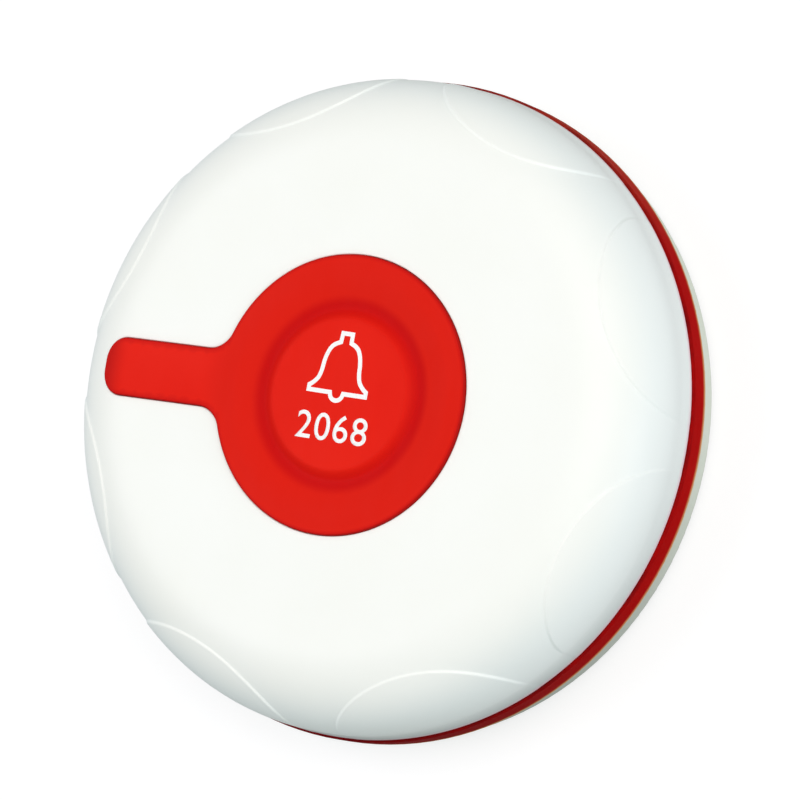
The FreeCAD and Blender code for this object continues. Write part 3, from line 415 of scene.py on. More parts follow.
class Tree:
    """Adds nodes to a node tree and joins them, with a value or a socket for each input."""

    def __init__(self, tree):
        self.tree = tree

    def node(self, kind, inputs=None, **settings):
        node = self.tree.nodes.new(kind)
        for name, value in settings.items():
            setattr(node, name, value)
        for key, value in (inputs or {}).items():
            self.feed(node.inputs[key], value)
        return node

    def feed(self, socket, value):
        if isinstance(value, bpy.types.NodeSocket):
            self.tree.links.new(value, socket)
        else:
            socket.default_value = value

    def math(self, operation, *values):
        return self.node("ShaderNodeMath", dict(enumerate(values)), operation=operation).outputs[0]

    def times(self, product, *values):
        for value in values:
            product = self.math("MULTIPLY", product, value)
        return product

    def minus(self, value, less):
        return self.math("SUBTRACT", value, less)

    def length(self, first, second):
        """How long a vector is that has these two components."""
        return self.math("SQRT", self.math("MULTIPLY_ADD", first, first, self.times(second, second)))

    def axes(self, where):
        return self.node("ShaderNodeSeparateXYZ", {0: where}).outputs

    def spread(self, value, low, high, to_low=0.0, to_high=1.0, smooth=False):
        """A value's range from low to high, spread over another range."""
        kind = "SMOOTHSTEP" if smooth else "LINEAR"
        ends = {"Value": value, "From Min": low, "From Max": high, "To Min": to_low, "To Max": to_high}
        return self.node("ShaderNodeMapRange", ends, interpolation_type=kind).outputs[0]

    def mix(self, factor, first, second):
        """A colour between first and second. The node's colour sockets are its seventh and eighth."""
        return self.node("ShaderNodeMix", {0: factor, 6: first, 7: second}, data_type="RGBA").outputs[2]

    def noise(self, where, scale, detail=2.0, roughness=0.5):
        ends = {"Vector": where, "Scale": scale, "Detail": detail, "Roughness": roughness}
        return self.node("ShaderNodeTexNoise", ends).outputs["Fac"]

    def stretched(self, where, scale, turn=0.0):
        ends = {"Vector": where, "Rotation": (0.0, 0.0, turn), "Scale": scale}
        return self.node("ShaderNodeMapping", ends).outputs[0]


def new_group(name, kind, inputs, outputs):
    """An empty node group. Sockets have the name of their type or, for a number, its default value."""
    group = bpy.data.node_groups.new(name, kind)
    for title, value in inputs.items():
        is_number = not isinstance(value, str)
        socket_type = type(value).__name__.capitalize() if is_number else value
        socket = group.interface.new_socket(title, in_out="INPUT", socket_type="NodeSocket" + socket_type)
        if is_number:
            socket.default_value = value
    for title, socket_type in outputs.items():
        group.interface.new_socket(title, in_out="OUTPUT", socket_type="NodeSocket" + socket_type)
    start = group.nodes.new("NodeGroupInput")
    end = group.nodes.new("NodeGroupOutput")
    return group, Tree(group), start.outputs, end.inputs


def new_effect(name, numbers, outputs):
    """A shader group that turns a place and some numbers into masks, heights or shades."""
    inputs = {"Where": "Vector", **numbers}
    return new_group(name, "ShaderNodeTree", inputs, {title: "Float" for title in outputs})


def new_material(name):
    material = bpy.data.materials.new(name)
    material.use_nodes = True
    material.node_tree.nodes.clear()
    return material, Tree(material.node_tree)


def rgb(red, green, blue):
    """A colour from its display values, 0 to 255."""
    def linear(value):
        value /= 255
        return value / 12.92 if value <= 0.04045 else ((value + 0.055) / 1.055) ** 2.4
    return (linear(red), linear(green), linear(blue), 1.0)


# --- effects that several finishes share ---


def make_moulded_grain():
    """The fine spark-eroded grain of a moulded surface, with the slow waves of its skin."""
    numbers = {"Grain per metre": 2600.0, "Waves per metre": 140.0, "Waves": 0.4}
    group, tree, given, out = new_effect("moulded_grain", numbers, ["Height"])
    fine = tree.noise(given["Where"], given["Grain per metre"], 3.0, 0.6)
    slow = tree.noise(given["Where"], given["Waves per metre"], 1.0, 0.4)
    tree.feed(out["Height"], tree.math("MULTIPLY_ADD", slow, given["Waves"], fine))
    return group


def make_handling():
    """Faint uneven shade and sheen from handling: smears that run along the piece, and cloudy patches."""
    numbers = {"Patches per metre": 60.0, "Smear": 0.5}
    group, tree, given, out = new_effect("handling", numbers, ["Shade", "Sheen"])
    cloud = tree.noise(given["Where"], given["Patches per metre"], 3.0, 0.55)
    streaks = tree.stretched(given["Where"], (6.0, 1.0, 1.0), 0.6)
    smear = tree.noise(streaks, tree.times(given["Patches per metre"], 2.5), 4.0, 0.6)
    tree.feed(out["Shade"], tree.spread(cloud, 0.35, 0.7))
    smears = tree.times(tree.spread(smear, 0.45, 0.75), given["Smear"])
    tree.feed(out["Sheen"], tree.math("ADD", smears, tree.spread(cloud, 0.3, 0.7)))
    return group


def make_dust():
    """Sparse small round specks."""
    numbers = {"Cells per metre": 420.0, "Speck size": 0.05, "Share": 0.1}
    group, tree, given, out = new_effect("dust", numbers, ["Mask"])
    ends = {"Vector": given["Where"], "Scale": given["Cells per metre"]}
    cells = tree.node("ShaderNodeTexVoronoi", ends, feature="F1").outputs
    near = tree.math("LESS_THAN", cells["Distance"], given["Speck size"])
    pick = tree.node("ShaderNodeSeparateColor", {"Color": cells["Color"]}).outputs[0]
    tree.feed(out["Mask"], tree.times(near, tree.math("LESS_THAN", pick, given["Share"])))
    return group


def make_level_grime():
    """A patchy band about one level, used for painted shade in a seam and for painted highlights and bounce
    light along an edge.
    """
    numbers = {"Level": 0.007, "Reach": 0.0006, "Least": 0.35}
    group, tree, given, out = new_effect("painted_level_band", numbers, ["Mask"])
    away = tree.math("ABSOLUTE", tree.minus(tree.axes(given["Where"])[2], given["Level"]))
    near = tree.spread(tree.math("DIVIDE", away, given["Reach"]), 0.0, 1.0, 1.0, 0.0, smooth=True)
    patchy = tree.spread(tree.noise(given["Where"], 220.0, 4.0, 0.6), 0.35, 0.65, given["Least"], 1.0)
    tree.feed(out["Mask"], tree.times(near, patchy))
    return group


def make_side_soil():
    """A mask that deepens down a wall and towards one side, along Y, used mostly for painted shade."""
    levels = {"Clean level": 0.011, "Soiled level": 0.007}
    sides = {"Far side": 0.05, "Side start": 0.012, "Side end": -0.036}
    group, tree, given, out = new_effect("side_shade", {**levels, **sides}, ["Mask"])
    axes = tree.axes(given["Where"])
    down = tree.spread(axes[2], given["Clean level"], given["Soiled level"])
    side = tree.spread(axes[1], given["Side start"], given["Side end"], given["Far side"], 1.0, smooth=True)
    patchy = tree.spread(tree.noise(given["Where"], 90.0, 3.0, 0.6), 0.3, 0.7, 0.85, 1.0)
    tree.feed(out["Mask"], tree.times(down, side, patchy))
    return group


MOULDED_GRAIN = make_moulded_grain()
HANDLING = make_handling()
DUST = make_dust()
PAINTED_LEVEL_BAND = make_level_grime()
SIDE_SHADE = make_side_soil()


def spaced(numbers):
    """Keyword names as the names of sockets."""
    return {key.replace("_", " "): value for key, value in numbers.items()}


class Finish:
    """A material with a Principled shader that the shared effects feed."""

    def __init__(self, name, **sockets):
        self.name = name
        self.material, self.tree = new_material(name)
        self.where = self.tree.node("ShaderNodeTexCoord").outputs["Object"]
        self.shader = self.tree.node("ShaderNodeBsdfPrincipled", spaced(sockets))
        self.tree.node("ShaderNodeOutputMaterial", {"Surface": self.shader.outputs[0]})
        self.base = None

    def effect(self, group, **numbers):
        ends = {"Where": self.where, **spaced(numbers)}
        return self.tree.node("ShaderNodeGroup", ends, node_tree=group).outputs

    def colour(self, value):
        self.base = value
        self.tree.feed(self.shader.inputs["Base Color"], value)

    def stain(self, colour, share, mask):
        """Lays a colour over the base where the mask is, and no more than the share."""
        self.colour(self.tree.mix(self.tree.times(mask, share), self.base, colour))

    def stain_by(self, colour, share, group, **numbers):
        """The same with a shared effect's mask."""
        self.stain(colour, share, self.effect(group, **numbers)["Mask"])

    def roughness(self, sheen, low, high):
        """Roughness from low, where the sheen is 0, to high."""
        self.tree.feed(self.shader.inputs["Roughness"], self.tree.spread(sheen, 0.0, 1.0, low, high))

    def bump(self, height, depth):
        """A bump whose full height is depth, in metres."""
        bump = self.tree.node("ShaderNodeBump", {"Height": height, "Distance": depth})
        self.tree.feed(self.shader.inputs["Normal"], bump.outputs[0])

    def handled(self, pale, deep, roughness, patches):
        """Two close shades and a sheen, both uneven from handling."""
        handling = self.effect(HANDLING, Patches_per_metre=patches)
        self.colour(self.tree.mix(handling["Shade"], pale, deep))
        self.roughness(handling["Sheen"], *roughness)


def moulded(name, pale, deep, roughness, grain_depth, grain=2600.0, specular=0.5, patches=60.0):
    """A moulded plastic or rubber: two close shades, a grain and the marks of handling."""
    finish = Finish(name, Specular_IOR_Level=specular)
    finish.handled(rgb(*pale), rgb(*deep), roughness, patches)
    finish.bump(finish.effect(MOULDED_GRAIN, Grain_per_metre=grain)["Height"], grain_depth)
    return finish


def metal(name, pale, deep, roughness):
    """A plated metal: fine lines of the rolled sheet under an uneven sheen."""
    finish = Finish(name, Metallic=1.0)
    finish.handled((*pale, 1), (*deep, 1), roughness, 300.0)
    lines = finish.tree.stretched(finish.where, (900.0, 900.0, 9000.0))
    finish.bump(finish.tree.noise(lines, 1.0), 0.000002)
    return finish


def clear(name, tint, roughness):
    """A clear moulding with faint flow lines."""
    finish = Finish(name, Base_Color=rgb(*tint), Transmission_Weight=0.92, IOR=1.49)
    flow = finish.tree.noise(finish.where, 500.0, 2.0, 0.4)
    finish.roughness(flow, *roughness)
    finish.bump(flow, 0.00001)
    return finish


# --- finishes ---


def make_shell_white():
    """Satin white ABS, finely grained, with dust specks; painted cool shade down its shoulder, painted shade
    down its wall towards -Y, and a painted pink reflection of the band at its seam.
    """
    finish = moulded("shell_white", (250, 250, 244), (249, 249, 242), (0.36, 0.46), 0.000004, 3200.0, 0.3)
    level = finish.tree.axes(finish.where)[2]
    # painted cool shade down the shoulder, where less light falls
    cool_shade = finish.tree.spread(level, COOL_SHADE_START_LEVEL * MM, COOL_SHADE_END_LEVEL * MM, smooth=True)
    finish.stain(rgb(244, 248, 245), 1.0, cool_shade)
    # painted shade down the wall to the seam, deeper towards -Y
    levels = {"Clean_level": SHELL_SHADE_LEVEL * MM, "Soiled_level": SEAM_LEVEL * MM}
    finish.stain_by(rgb(180, 186, 184), 1.0, SIDE_SHADE, **levels)
    # painted pink reflection of the red band, just above the seam
    finish.stain_by(rgb(255, 204, 216), 0.9, PAINTED_LEVEL_BAND, Level=SEAM_LEVEL * MM, Reach=0.0009, Least=0.8)
    finish.stain_by(rgb(150, 148, 142), 0.4, DUST, Cells_per_metre=260.0, Speck_size=0.02, Share=0.03)
    return finish


def make_face_red():
    """Soft red silicone with a matt grain, cloudy tone and dust specks, a little darker in a ring round the
    pad, deeper in the groove partly as thin silicone and partly as painted shade, with painted shade at the
    tail's end and along its edges.
    """
    finish = moulded("face_red", (233, 29, 9), (227, 24, 8), (0.55, 0.68), 0.000006, 3000.0, 0.1, 45.0)
    tree = finish.tree
    along, across, _ = tree.axes(finish.where)
    radius = tree.length(along, across)
    # a slightly darker ring round the pad; the groove's deeper red is partly the thin silicone and partly
    # painted shade in the recess
    for radii, share, shade in ((FACE_SHADE, 1.0, rgb(222, 24, 5)), (GROOVE_SHADE, 0.95, rgb(203, 0, 0))):
        start, full, fade, end = (value * MM for value in radii)
        rise = tree.spread(radius, start, full, smooth=True)
        finish.stain(shade, share, tree.times(rise, tree.spread(radius, fade, end, 1.0, 0.0, smooth=True)))
    # painted shade where the tail's end turns down the shoulder, away from the light
    tail_start, tail_end = (value * MM for value in TAIL_SHADE)
    finish.stain(rgb(192, 8, 3), 0.9, tree.spread(along, tail_start, tail_end, smooth=True))
    # painted shade on the face's rounded edge and side wall, placed by the edge attribute
    edge = tree.node("ShaderNodeAttribute", attribute_name="edge").outputs["Fac"]
    finish.stain(rgb(200, 5, 2), 0.7, tree.spread(edge, 0.0, 0.5))
    finish.stain(rgb(160, 10, 6), 0.7, tree.spread(edge, 0.5, 0.9))
    finish.stain_by(rgb(255, 190, 180), 0.55, DUST, Cells_per_metre=330.0, Speck_size=0.035, Share=0.07)
    return finish


def make_gasket_red():
    """Deep red silicone with painted shade in the seam and towards -Y, browner towards +Y, and a painted
    highlight along its lower lip.
    """
    finish = moulded("gasket_red", (186, 3, 2), (175, 2, 2), (0.65, 0.78), 0.000008, 2600.0, 0.06)
    sides = {"Far_side": 0.0, **WHOLE_HEIGHT}
    # painted shade towards -Y
    finish.stain_by(rgb(110, 4, 6), 0.7, SIDE_SHADE, Side_start=-0.015, Side_end=-0.042, **sides)
    # browner towards +Y, through the same side mask
    finish.stain_by(rgb(176, 70, 46), 0.5, SIDE_SHADE, Side_start=0.022, Side_end=0.04, **sides)
    # painted shade in the seam, under the shell's overhang
    finish.stain_by(rgb(96, 4, 8), 0.8, PAINTED_LEVEL_BAND, Level=SEAM_LEVEL * MM, Reach=0.0006)
    # painted highlight along the band's lower lip
    lip_highlight = {"Level": GASKET_LIP_HIGHLIGHT_LEVEL * MM, "Reach": 0.0007, "Least": 0.85}
    finish.stain_by(rgb(236, 190, 128), 0.8, PAINTED_LEVEL_BAND, **lip_highlight)
    return finish


def make_base_ivory():
    """Ivory ABS with a painted warm bounce of light just below the band's lip, and painted shade towards -Y.
    """
    finish = moulded("base_ivory", (238, 243, 229), (232, 237, 222), (0.4, 0.52), 0.000006, 2800.0, 0.3)
    # painted warm bounce of light from the red band, just below its lip
    tint = {"Level": BASE_BOUNCE_LEVEL * MM, "Reach": 0.0008, "Least": 0.85}
    finish.stain_by(rgb(250, 222, 190), 0.6, PAINTED_LEVEL_BAND, **tint)
    # painted shade towards -Y
    finish.stain_by(rgb(164, 166, 158), 0.7, SIDE_SHADE, Far_side=0.0, **WHOLE_HEIGHT)
    return finish


def make_board_green():
    """Green solder mask over traces, with tinned pads that show as small pale dots."""
    finish = Finish("board_green", Specular_IOR_Level=0.5)
    tree = finish.tree
    plain = {"Vector": finish.where, "Color1": (0, 0, 0, 1), "Color2": (0, 0, 0, 1), "Mortar": (1, 1, 1, 1)}
    sizes = {"Scale": 1.0, "Mortar Size": 0.0002, "Brick Width": 0.0043, "Row Height": 0.0021}
    traces = tree.node("ShaderNodeTexBrick", {**plain, **sizes}).outputs["Color"]
    finish.colour(tree.mix(traces, rgb(18, 92, 48), rgb(30, 122, 62)))
    finish.stain_by(rgb(205, 205, 198), 1.0, DUST, Cells_per_metre=300.0, Speck_size=0.16, Share=0.3)
    finish.roughness(finish.effect(HANDLING)["Sheen"], 0.25, 0.4)
    finish.bump(tree.node("ShaderNodeSeparateColor", {"Color": traces}).outputs[0], 0.00003)
    return finish


def make_sleeve():
    """A dark blue shrink sleeve with a pale band at its positive end."""
    finish = moulded("battery_sleeve", (24, 42, 92), (18, 34, 80), (0.2, 0.35), 0.000006, 900.0)
    along = finish.tree.axes(finish.where)[0]
    finish.stain(rgb(206, 164, 72), 1.0, finish.tree.math("LESS_THAN", along, SLEEVE_BAND * MM))
    return finish


def make_foam_tape():
    """Closed-cell foam: round pores close together, darker in their middles as painted shade."""
    finish = Finish("foam_tape", Specular_IOR_Level=0.25)
    tree = finish.tree
    ends = {"Vector": finish.where, "Scale": 2600.0}
    pores = tree.node("ShaderNodeTexVoronoi", ends, feature="SMOOTH_F1")
    # painted shade in the pores, deepest at their middles
    depth = tree.spread(pores.outputs["Distance"], 0.0, 0.6)
    finish.colour(tree.mix(depth, rgb(34, 34, 36), rgb(70, 70, 72)))
    finish.roughness(finish.effect(HANDLING)["Sheen"], 0.75, 0.95)
    finish.bump(depth, 0.00008)
    return finish


def make_print_white():
    """White screen print: nearly even, with tiny pinholes where some red shows."""
    finish = moulded("print_white", (252, 251, 249), (246, 244, 242), (0.5, 0.6), 0.000005, 4000.0, 0.3)
    finish.stain_by(rgb(236, 150, 140), 0.35, DUST, Cells_per_metre=2200.0, Speck_size=0.12, Share=0.04)
    return finish


FINISHES = {finish.name: finish.material for finish in (
    make_shell_white(),
    make_face_red(),
    make_gasket_red(),
    make_base_ivory(),
    make_board_green(),
    make_sleeve(),
    make_foam_tape(),
    moulded("plate_ivory", (222, 224, 212), (212, 214, 201), (0.5, 0.65), 0.00003, 1500.0, 0.4),
    moulded("actuator_white", (226, 226, 222), (216, 216, 212), (0.4, 0.55), 0.000008),
    moulded("seal_black", (30, 30, 31), (42, 42, 43), (0.35, 0.6), 0.000008),
    moulded("switch_black", (36, 36, 38), (48, 48, 50), (0.4, 0.6), 0.000008),
    moulded("chip_black", (28, 28, 30), (40, 40, 41), (0.5, 0.7), 0.00001, 6000.0),
    moulded("ceramic_tan", (176, 148, 112), (160, 132, 98), (0.4, 0.6), 0.00001, 5000.0),
    metal("screw_steel", (0.62, 0.62, 0.63), (0.52, 0.52, 0.5), (0.28, 0.5)),
    metal("battery_steel", (0.74, 0.74, 0.73), (0.66, 0.65, 0.63), (0.2, 0.38)),
    metal("contact_nickel", (0.78, 0.76, 0.7), (0.68, 0.65, 0.58), (0.2, 0.4)),
    metal("switch_plate", (0.72, 0.72, 0.71), (0.62, 0.62, 0.6), (0.25, 0.45)),
    metal("lead_tin", (0.8, 0.8, 0.79), (0.68, 0.68, 0.67), (0.25, 0.45)),
    metal("can_nickel", (0.8, 0.79, 0.76), (0.72, 0.7, 0.67), (0.12, 0.3)),
    metal("copper_wire", (0.86, 0.5, 0.34), (0.72, 0.38, 0.25), (0.2, 0.4)),
    clear("lamp_epoxy", (214, 60, 50), (0.08, 0.2)),
    clear("guide_acrylic", (240, 244, 246), (0.05, 0.15)),
)}


# --- top shell ---


def petal_rim_points(dome, total):
    """Rows of points along the rim of each petal, on the flat map of the shell."""
    points = []
    for share in [-row for row in PETAL_RIM_ROWS[::-1]] + list(PETAL_RIM_ROWS):
        outline = PETAL_RADIUS + PETAL_RIM_WIDTH * share
        nearest = dome.length_at(PETAL_DISTANCE - outline)
        for step in range(PETAL_RIM_STEPS + 1):
            length = nearest + (total - nearest) * (step / PETAL_RIM_STEPS) ** 2
            radius = dome.at_length(length)[0]
            cosine = (radius ** 2 + PETAL_DISTANCE ** 2 - outline ** 2) / (2 * radius * PETAL_DISTANCE)
            turn = math.acos(min(1.0, cosine))
            sides = (-1, 1) if turn > 0.0001 else (1,)  # the two sides meet at the apex
            for index in range(PETAL_COUNT):
                middle = math.tau * (index + 0.5) / PETAL_COUNT
                for side in sides:
                    angle = middle + side * turn
                    points.append((length * math.cos(angle), length * math.sin(angle)))
    return [point for point in points if math.hypot(*point) < total - PETAL_END_MARGIN]


def add_shell_skin(build, dome):
    """The outer skin, from a flat map bent onto the case's form. Returns its rim and its opening."""
    total = dome.crown_length + dome.shoulder_length + dome.wall_length - RIM_ROUND
    opening = []
    for x, y in face_outline(FACE_GAP + SEAT_ROUND):
        scale = dome.length_at(math.hypot(x, y)) / math.hypot(x, y)
        opening.append((x * scale, y * scale))
    first, spacing, clearance = SKIN_POINTS
    petal_points = petal_rim_points(dome, total)
    evenly = ring_points(first, total - SKIN_END_MARGIN, spacing)
    fillers = away_from(petal_points, evenly, PETAL_CLEARANCE) + petal_points
    flat, triangles = triangulate(circle(total, RIM_COUNT), opening, fillers, clearance)
    skin = []
    for x, y in flat:
        length = math.hypot(x, y)
        radius, level = dome.at_length(length)
        skin.append((x / length * radius, y / length * radius, level))
    indices = build.add(skin)
    build.fill(triangles, indices)
    return indices[:RIM_COUNT], indices[RIM_COUNT:RIM_COUNT + len(opening)]


def add_face_seat(build, dome, opening):
    """The seat's rounded edge, wall and floor. Returns the ring of the hole in its deck."""
    rings = [opening]
    for drop, outward in quarter_round(SEAT_ROUND, 4, 1):
        rings.append(build.add_over(face_outline(FACE_GAP + outward), dome, drop))
    seat = face_outline(FACE_GAP)
    rings.append(build.add_over(seat, dome, FACE_INLAY))
    build.strips(rings[::-1])
    deck = circle(DECK_HOLE_RADIUS, DECK_COUNT)
    floor, triangles = triangulate_tailed(seat, deck, *DECK_POINTS)
    extra = build.add_over(floor[len(seat):], dome, FACE_INLAY)
    build.fill(triangles, rings[-1] + extra)
    return extra[:DECK_COUNT]


def add_cavity(build, deck_ring):
    """The wall of the deck's hole and the cavity below it. Returns the ring at the seam."""
    inner = CASE_RADIUS - SHELL_WALL
    shoulder = quarter_round(SHOULDER_RADIUS - SHELL_WALL, 12)
    profile = [(DECK_HOLE_RADIUS, CEILING_LEVEL)]
    profile += [(inner - inward, CEILING_LEVEL - drop) for drop, inward in shoulder]
    profile.append((inner, SEAM_LEVEL))
    rings = [deck_ring] + [build.add_circle(radius, level, DECK_COUNT) for radius, level in profile]
    build.strips(rings[::-1])
    return rings[-1]


def add_rim(build, rim, cavity):
    """The rounded lower rim, and the flat below it, which joins the rim's points to the cavity's fewer."""
    wall = CASE_RADIUS + seam_flare(SEAM_LEVEL + RIM_ROUND)
    rings = [rim]
    for inward, above in quarter_round(RIM_ROUND, 3, 1):
        rings.append(build.add_circle(wall - inward, SEAM_LEVEL + above, RIM_COUNT))
    build.strips(rings)
    share = RIM_COUNT // DECK_COUNT
    for index, following in loop_edges(DECK_COUNT):
        outer = [rings[-1][(index * share + step) % RIM_COUNT] for step in range(share + 1)]
        build.faces.append([cavity[following], cavity[index], *outer])


def make_petal_tree():
    """Geometry nodes that raise grip petals evenly round a shoulder, each inside a circle in plan."""
    group, tree, given, out = new_group("raised_petals", "GeometryNodeTree", {
        "Geometry": "Geometry",
        "Count": PETAL_COUNT,
        "Outline radius": PETAL_RADIUS * MM,
        "Centre distance": PETAL_DISTANCE * MM,
        "Raise": PETAL_RAISE * MM,
        "Proud": PETAL_PROUD * MM,
        "Rim width": PETAL_RIM_WIDTH * MM,
        "Shoulder centre radius": 0.0,
        "Shoulder centre level": 0.0,
        "Skin radius": PETAL_INNER_RADIUS * MM,
        "Finish": "Material",
    }, {"Geometry": "Geometry"})
    axes = tree.axes(tree.node("GeometryNodeInputPosition").outputs[0])
    radius = tree.length(axes[0], axes[1])
    sector = tree.math("DIVIDE", math.tau, given["Count"])
    turn = tree.math("FLOORED_MODULO", tree.math("ARCTAN2", axes[1], axes[0]), sector)
    folded = tree.minus(turn, tree.times(sector, 0.5))
    along = tree.minus(tree.times(radius, tree.math("COSINE", folded)), given["Centre distance"])
    across = tree.times(radius, tree.math("SINE", folded))
    inside = tree.minus(given["Outline radius"], tree.length(along, across))
    half = tree.times(given["Rim width"], 0.5)
    mask = tree.spread(inside, tree.times(half, -1.0), half, smooth=True)
    outward = tree.minus(radius, given["Shoulder centre radius"])
    upward = tree.minus(axes[2], given["Shoulder centre level"])
    lean = tree.math("ARCTAN2", outward, tree.math("MAXIMUM", upward, 0.0))
    cosine = tree.math("COSINE", lean)
    sine = tree.math("SINE", lean)
    bulge = tree.math("MAXIMUM", tree.minus(tree.math("ADD", cosine, sine), 1.0), 0.0)
    height = tree.math("MULTIPLY_ADD", bulge, given["Raise"], tree.times(sine, given["Proud"]))
    far_out = tree.math("GREATER_THAN", tree.length(outward, upward), SKIN_REACH * MM)
    on_shoulder = tree.times(far_out, tree.math("GREATER_THAN", upward, 0.0))
    on_wall = tree.math("GREATER_THAN", radius, SKIN_WALL_RADIUS * MM)
    outer_part = tree.math("GREATER_THAN", radius, given["Skin radius"])
    skin = tree.times(outer_part, tree.math("MAXIMUM", on_wall, on_shoulder))
    lift = tree.times(mask, height, skin)
    sideways = tree.math("DIVIDE", tree.times(lift, sine), radius)
    shares = {0: tree.times(axes[0], sideways), 1: tree.times(axes[1], sideways), 2: tree.times(lift, cosine)}
    offset = tree.node("ShaderNodeCombineXYZ", shares).outputs[0]
    ends = {"Geometry": given["Geometry"], "Offset": offset}
    raised = tree.node("GeometryNodeSetPosition", ends).outputs[0]
    real = tree.node("GeometryNodeRealizeInstances", {"Geometry": raised}).outputs[0]
    ends = {"Geometry": real, "Material": given["Finish"]}
    tree.feed(out["Geometry"], tree.node("GeometryNodeSetMaterial", ends).outputs[0])
    return group


def apply_tree(name, mesh, group, inputs):
    """The plain mesh that a geometry tree makes of a mesh, with the tree's inputs set by name."""
    carrier = new_object(name + "_carrier", mesh)
    modifier = carrier.modifiers.new(group.name, "NODES")
    modifier.node_group = group
    for item in group.interface.items_tree:
        if item.in_out == "INPUT" and item.name in inputs:
            modifier[item.identifier] = inputs[item.name]
    made = evaluated_mesh(carrier, name)
    carrier.modifiers.remove(modifier)
    bpy.data.objects.remove(carrier)
    return made


def make_top_shell():
    """The white shell: its skin with the petals, the face's seat, the cavity and the rim."""
    dome = Dome()
    build = Builder()
    rim, opening = add_shell_skin(build, dome)
    cavity = add_cavity(build, add_face_seat(build, dome, opening))
    add_rim(build, rim, cavity)
    mesh = apply_tree("top_shell_skin", build.mesh("top_shell_form"), make_petal_tree(), {
        "Shoulder centre radius": dome.centre_radius * MM,
        "Shoulder centre level": dome.centre_level * MM,
        "Finish": FINISHES["shell_white"],
    })
    smooth_but_sharp(mesh)
    shell = new_piece("top_shell_skin", mesh, "shell_white", "housing")
    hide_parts("top_shell")


# --- red face, web and pad ---


def groove_level(radius):
    """The soft fall of the red face into the groove, down to the foot of the pad."""
    face_level = Dome(FACE_RAISE).level(DISH_RADIUS)
    width = DISH_RADIUS - WEB_RADIUS
    if radius >= WEB_RADIUS:
        share = (DISH_RADIUS - radius) / width
        return face_level - DISH_DEPTH * share * share * (DISH_SWEEP - (DISH_SWEEP - 1) * share)
    slope = DISH_DEPTH * (3 - DISH_SWEEP) / width
    span = WEB_RADIUS - FOOT_RADIUS
    share = (WEB_RADIUS - radius) / span
    start = face_level - DISH_DEPTH
    fall = start - GROOVE_LEVEL
    return start - slope * span * share * (1 - share) ** 2 - fall * share * share * (3 - 2 * share)


def make_face():
    """The red face: a rounded disc with a tail, a dish round its hole, and a skirt with a bead."""
    dome = Dome()
    raised = Dome(FACE_RAISE)
    build = Builder()
    bottom_drop = FACE_INLAY - SEAT_CLEARANCE
    bottom = face_outline(0.0)
    rings = [build.add_over(bottom, dome, bottom_drop)]
    for inward, drop in quarter_round(FACE_ROUND, 5):
        rings.append(build.add_over(face_outline(-inward), raised, drop))
    build.strips(rings[::-1])
    top = face_outline(-FACE_ROUND)
    dish = circle(DISH_RADIUS, ROUND_COUNT)
    flat, triangles = triangulate_tailed(top, dish, *FACE_POINTS)
    extra = build.add_over(flat[len(top):], raised)
    build.fill(triangles, rings[-1] + extra)
    dish_rings = [extra[:ROUND_COUNT]]
    for step in range(1, 13):
        radius = DISH_RADIUS + (WEB_RADIUS - DISH_RADIUS) * step / 12
        dish_rings.append(build.add_circle(radius, groove_level(radius), ROUND_COUNT))
    hole = circle(WEB_RADIUS, ROUND_COUNT)
    dish_rings.append(build.add_over(hole, dome, bottom_drop))
    build.strips(dish_rings[::-1])
    flat, triangles = triangulate_tailed(bottom, hole, *UNDERSIDE_POINTS)
    more = build.add_over(flat[len(bottom) + ROUND_COUNT:], dome, bottom_drop)
    build.fill(triangles, rings[0] + dish_rings[-1] + more, flip=True)
    skirt = DECK_HOLE_RADIUS - FACE_GAP
    skirt_top = TOP_LEVEL - FACE_INLAY / 2
    bead_top = CEILING_LEVEL - FACE_GAP
    build.lathe([
        (skirt, skirt_top),
        (skirt, bead_top),
        (skirt + BEAD_OVERHANG, bead_top),
        (skirt + BEAD_OVERHANG, bead_top - BEAD_HEIGHT),
        (skirt - SKIRT_WALL, bead_top - BEAD_HEIGHT),
        (skirt - SKIRT_WALL, skirt_top),
    ], SKIRT_COUNT)
    mesh = build.mesh("red_face")
    # the share of painted shade on each ring round the face's edge
    edge = mesh.attributes.new("edge", "FLOAT", "POINT")
    for ring, share in zip(rings, EDGE_PAINTED_SHADES):
        for index in ring:
            edge.data[index].value = share
    face = new_piece("red_face", mesh, "face_red", "housing")
    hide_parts("face_membrane")


def make_web():
    """The thin soft web in the floor of the groove."""
    build = Builder()
    radii = [WEB_RADIUS + (FOOT_RADIUS - WEB_RADIUS) * step / 14 for step in range(15)]
    outside_in = [(radius, groove_level(radius)) for radius in radii]
    under = [(radius, level - WEB_THICKNESS) for radius, level in outside_in]
    build.lathe(outside_in[::-1] + under, ROUND_COUNT)
    web = new_piece("groove_web", build.mesh("groove_web"), "face_red", None)
    fixed_level = groove_level(WEB_RADIUS) * MM
    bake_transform(web)
    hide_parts("button_web")


def pad_level(radius):
    """The pad's crowned top."""
    crown = (PAD_RADIUS ** 2 + PAD_CROWN ** 2) / (2 * PAD_CROWN)
    return PAD_TOP - (crown - math.sqrt(crown ** 2 - radius ** 2))


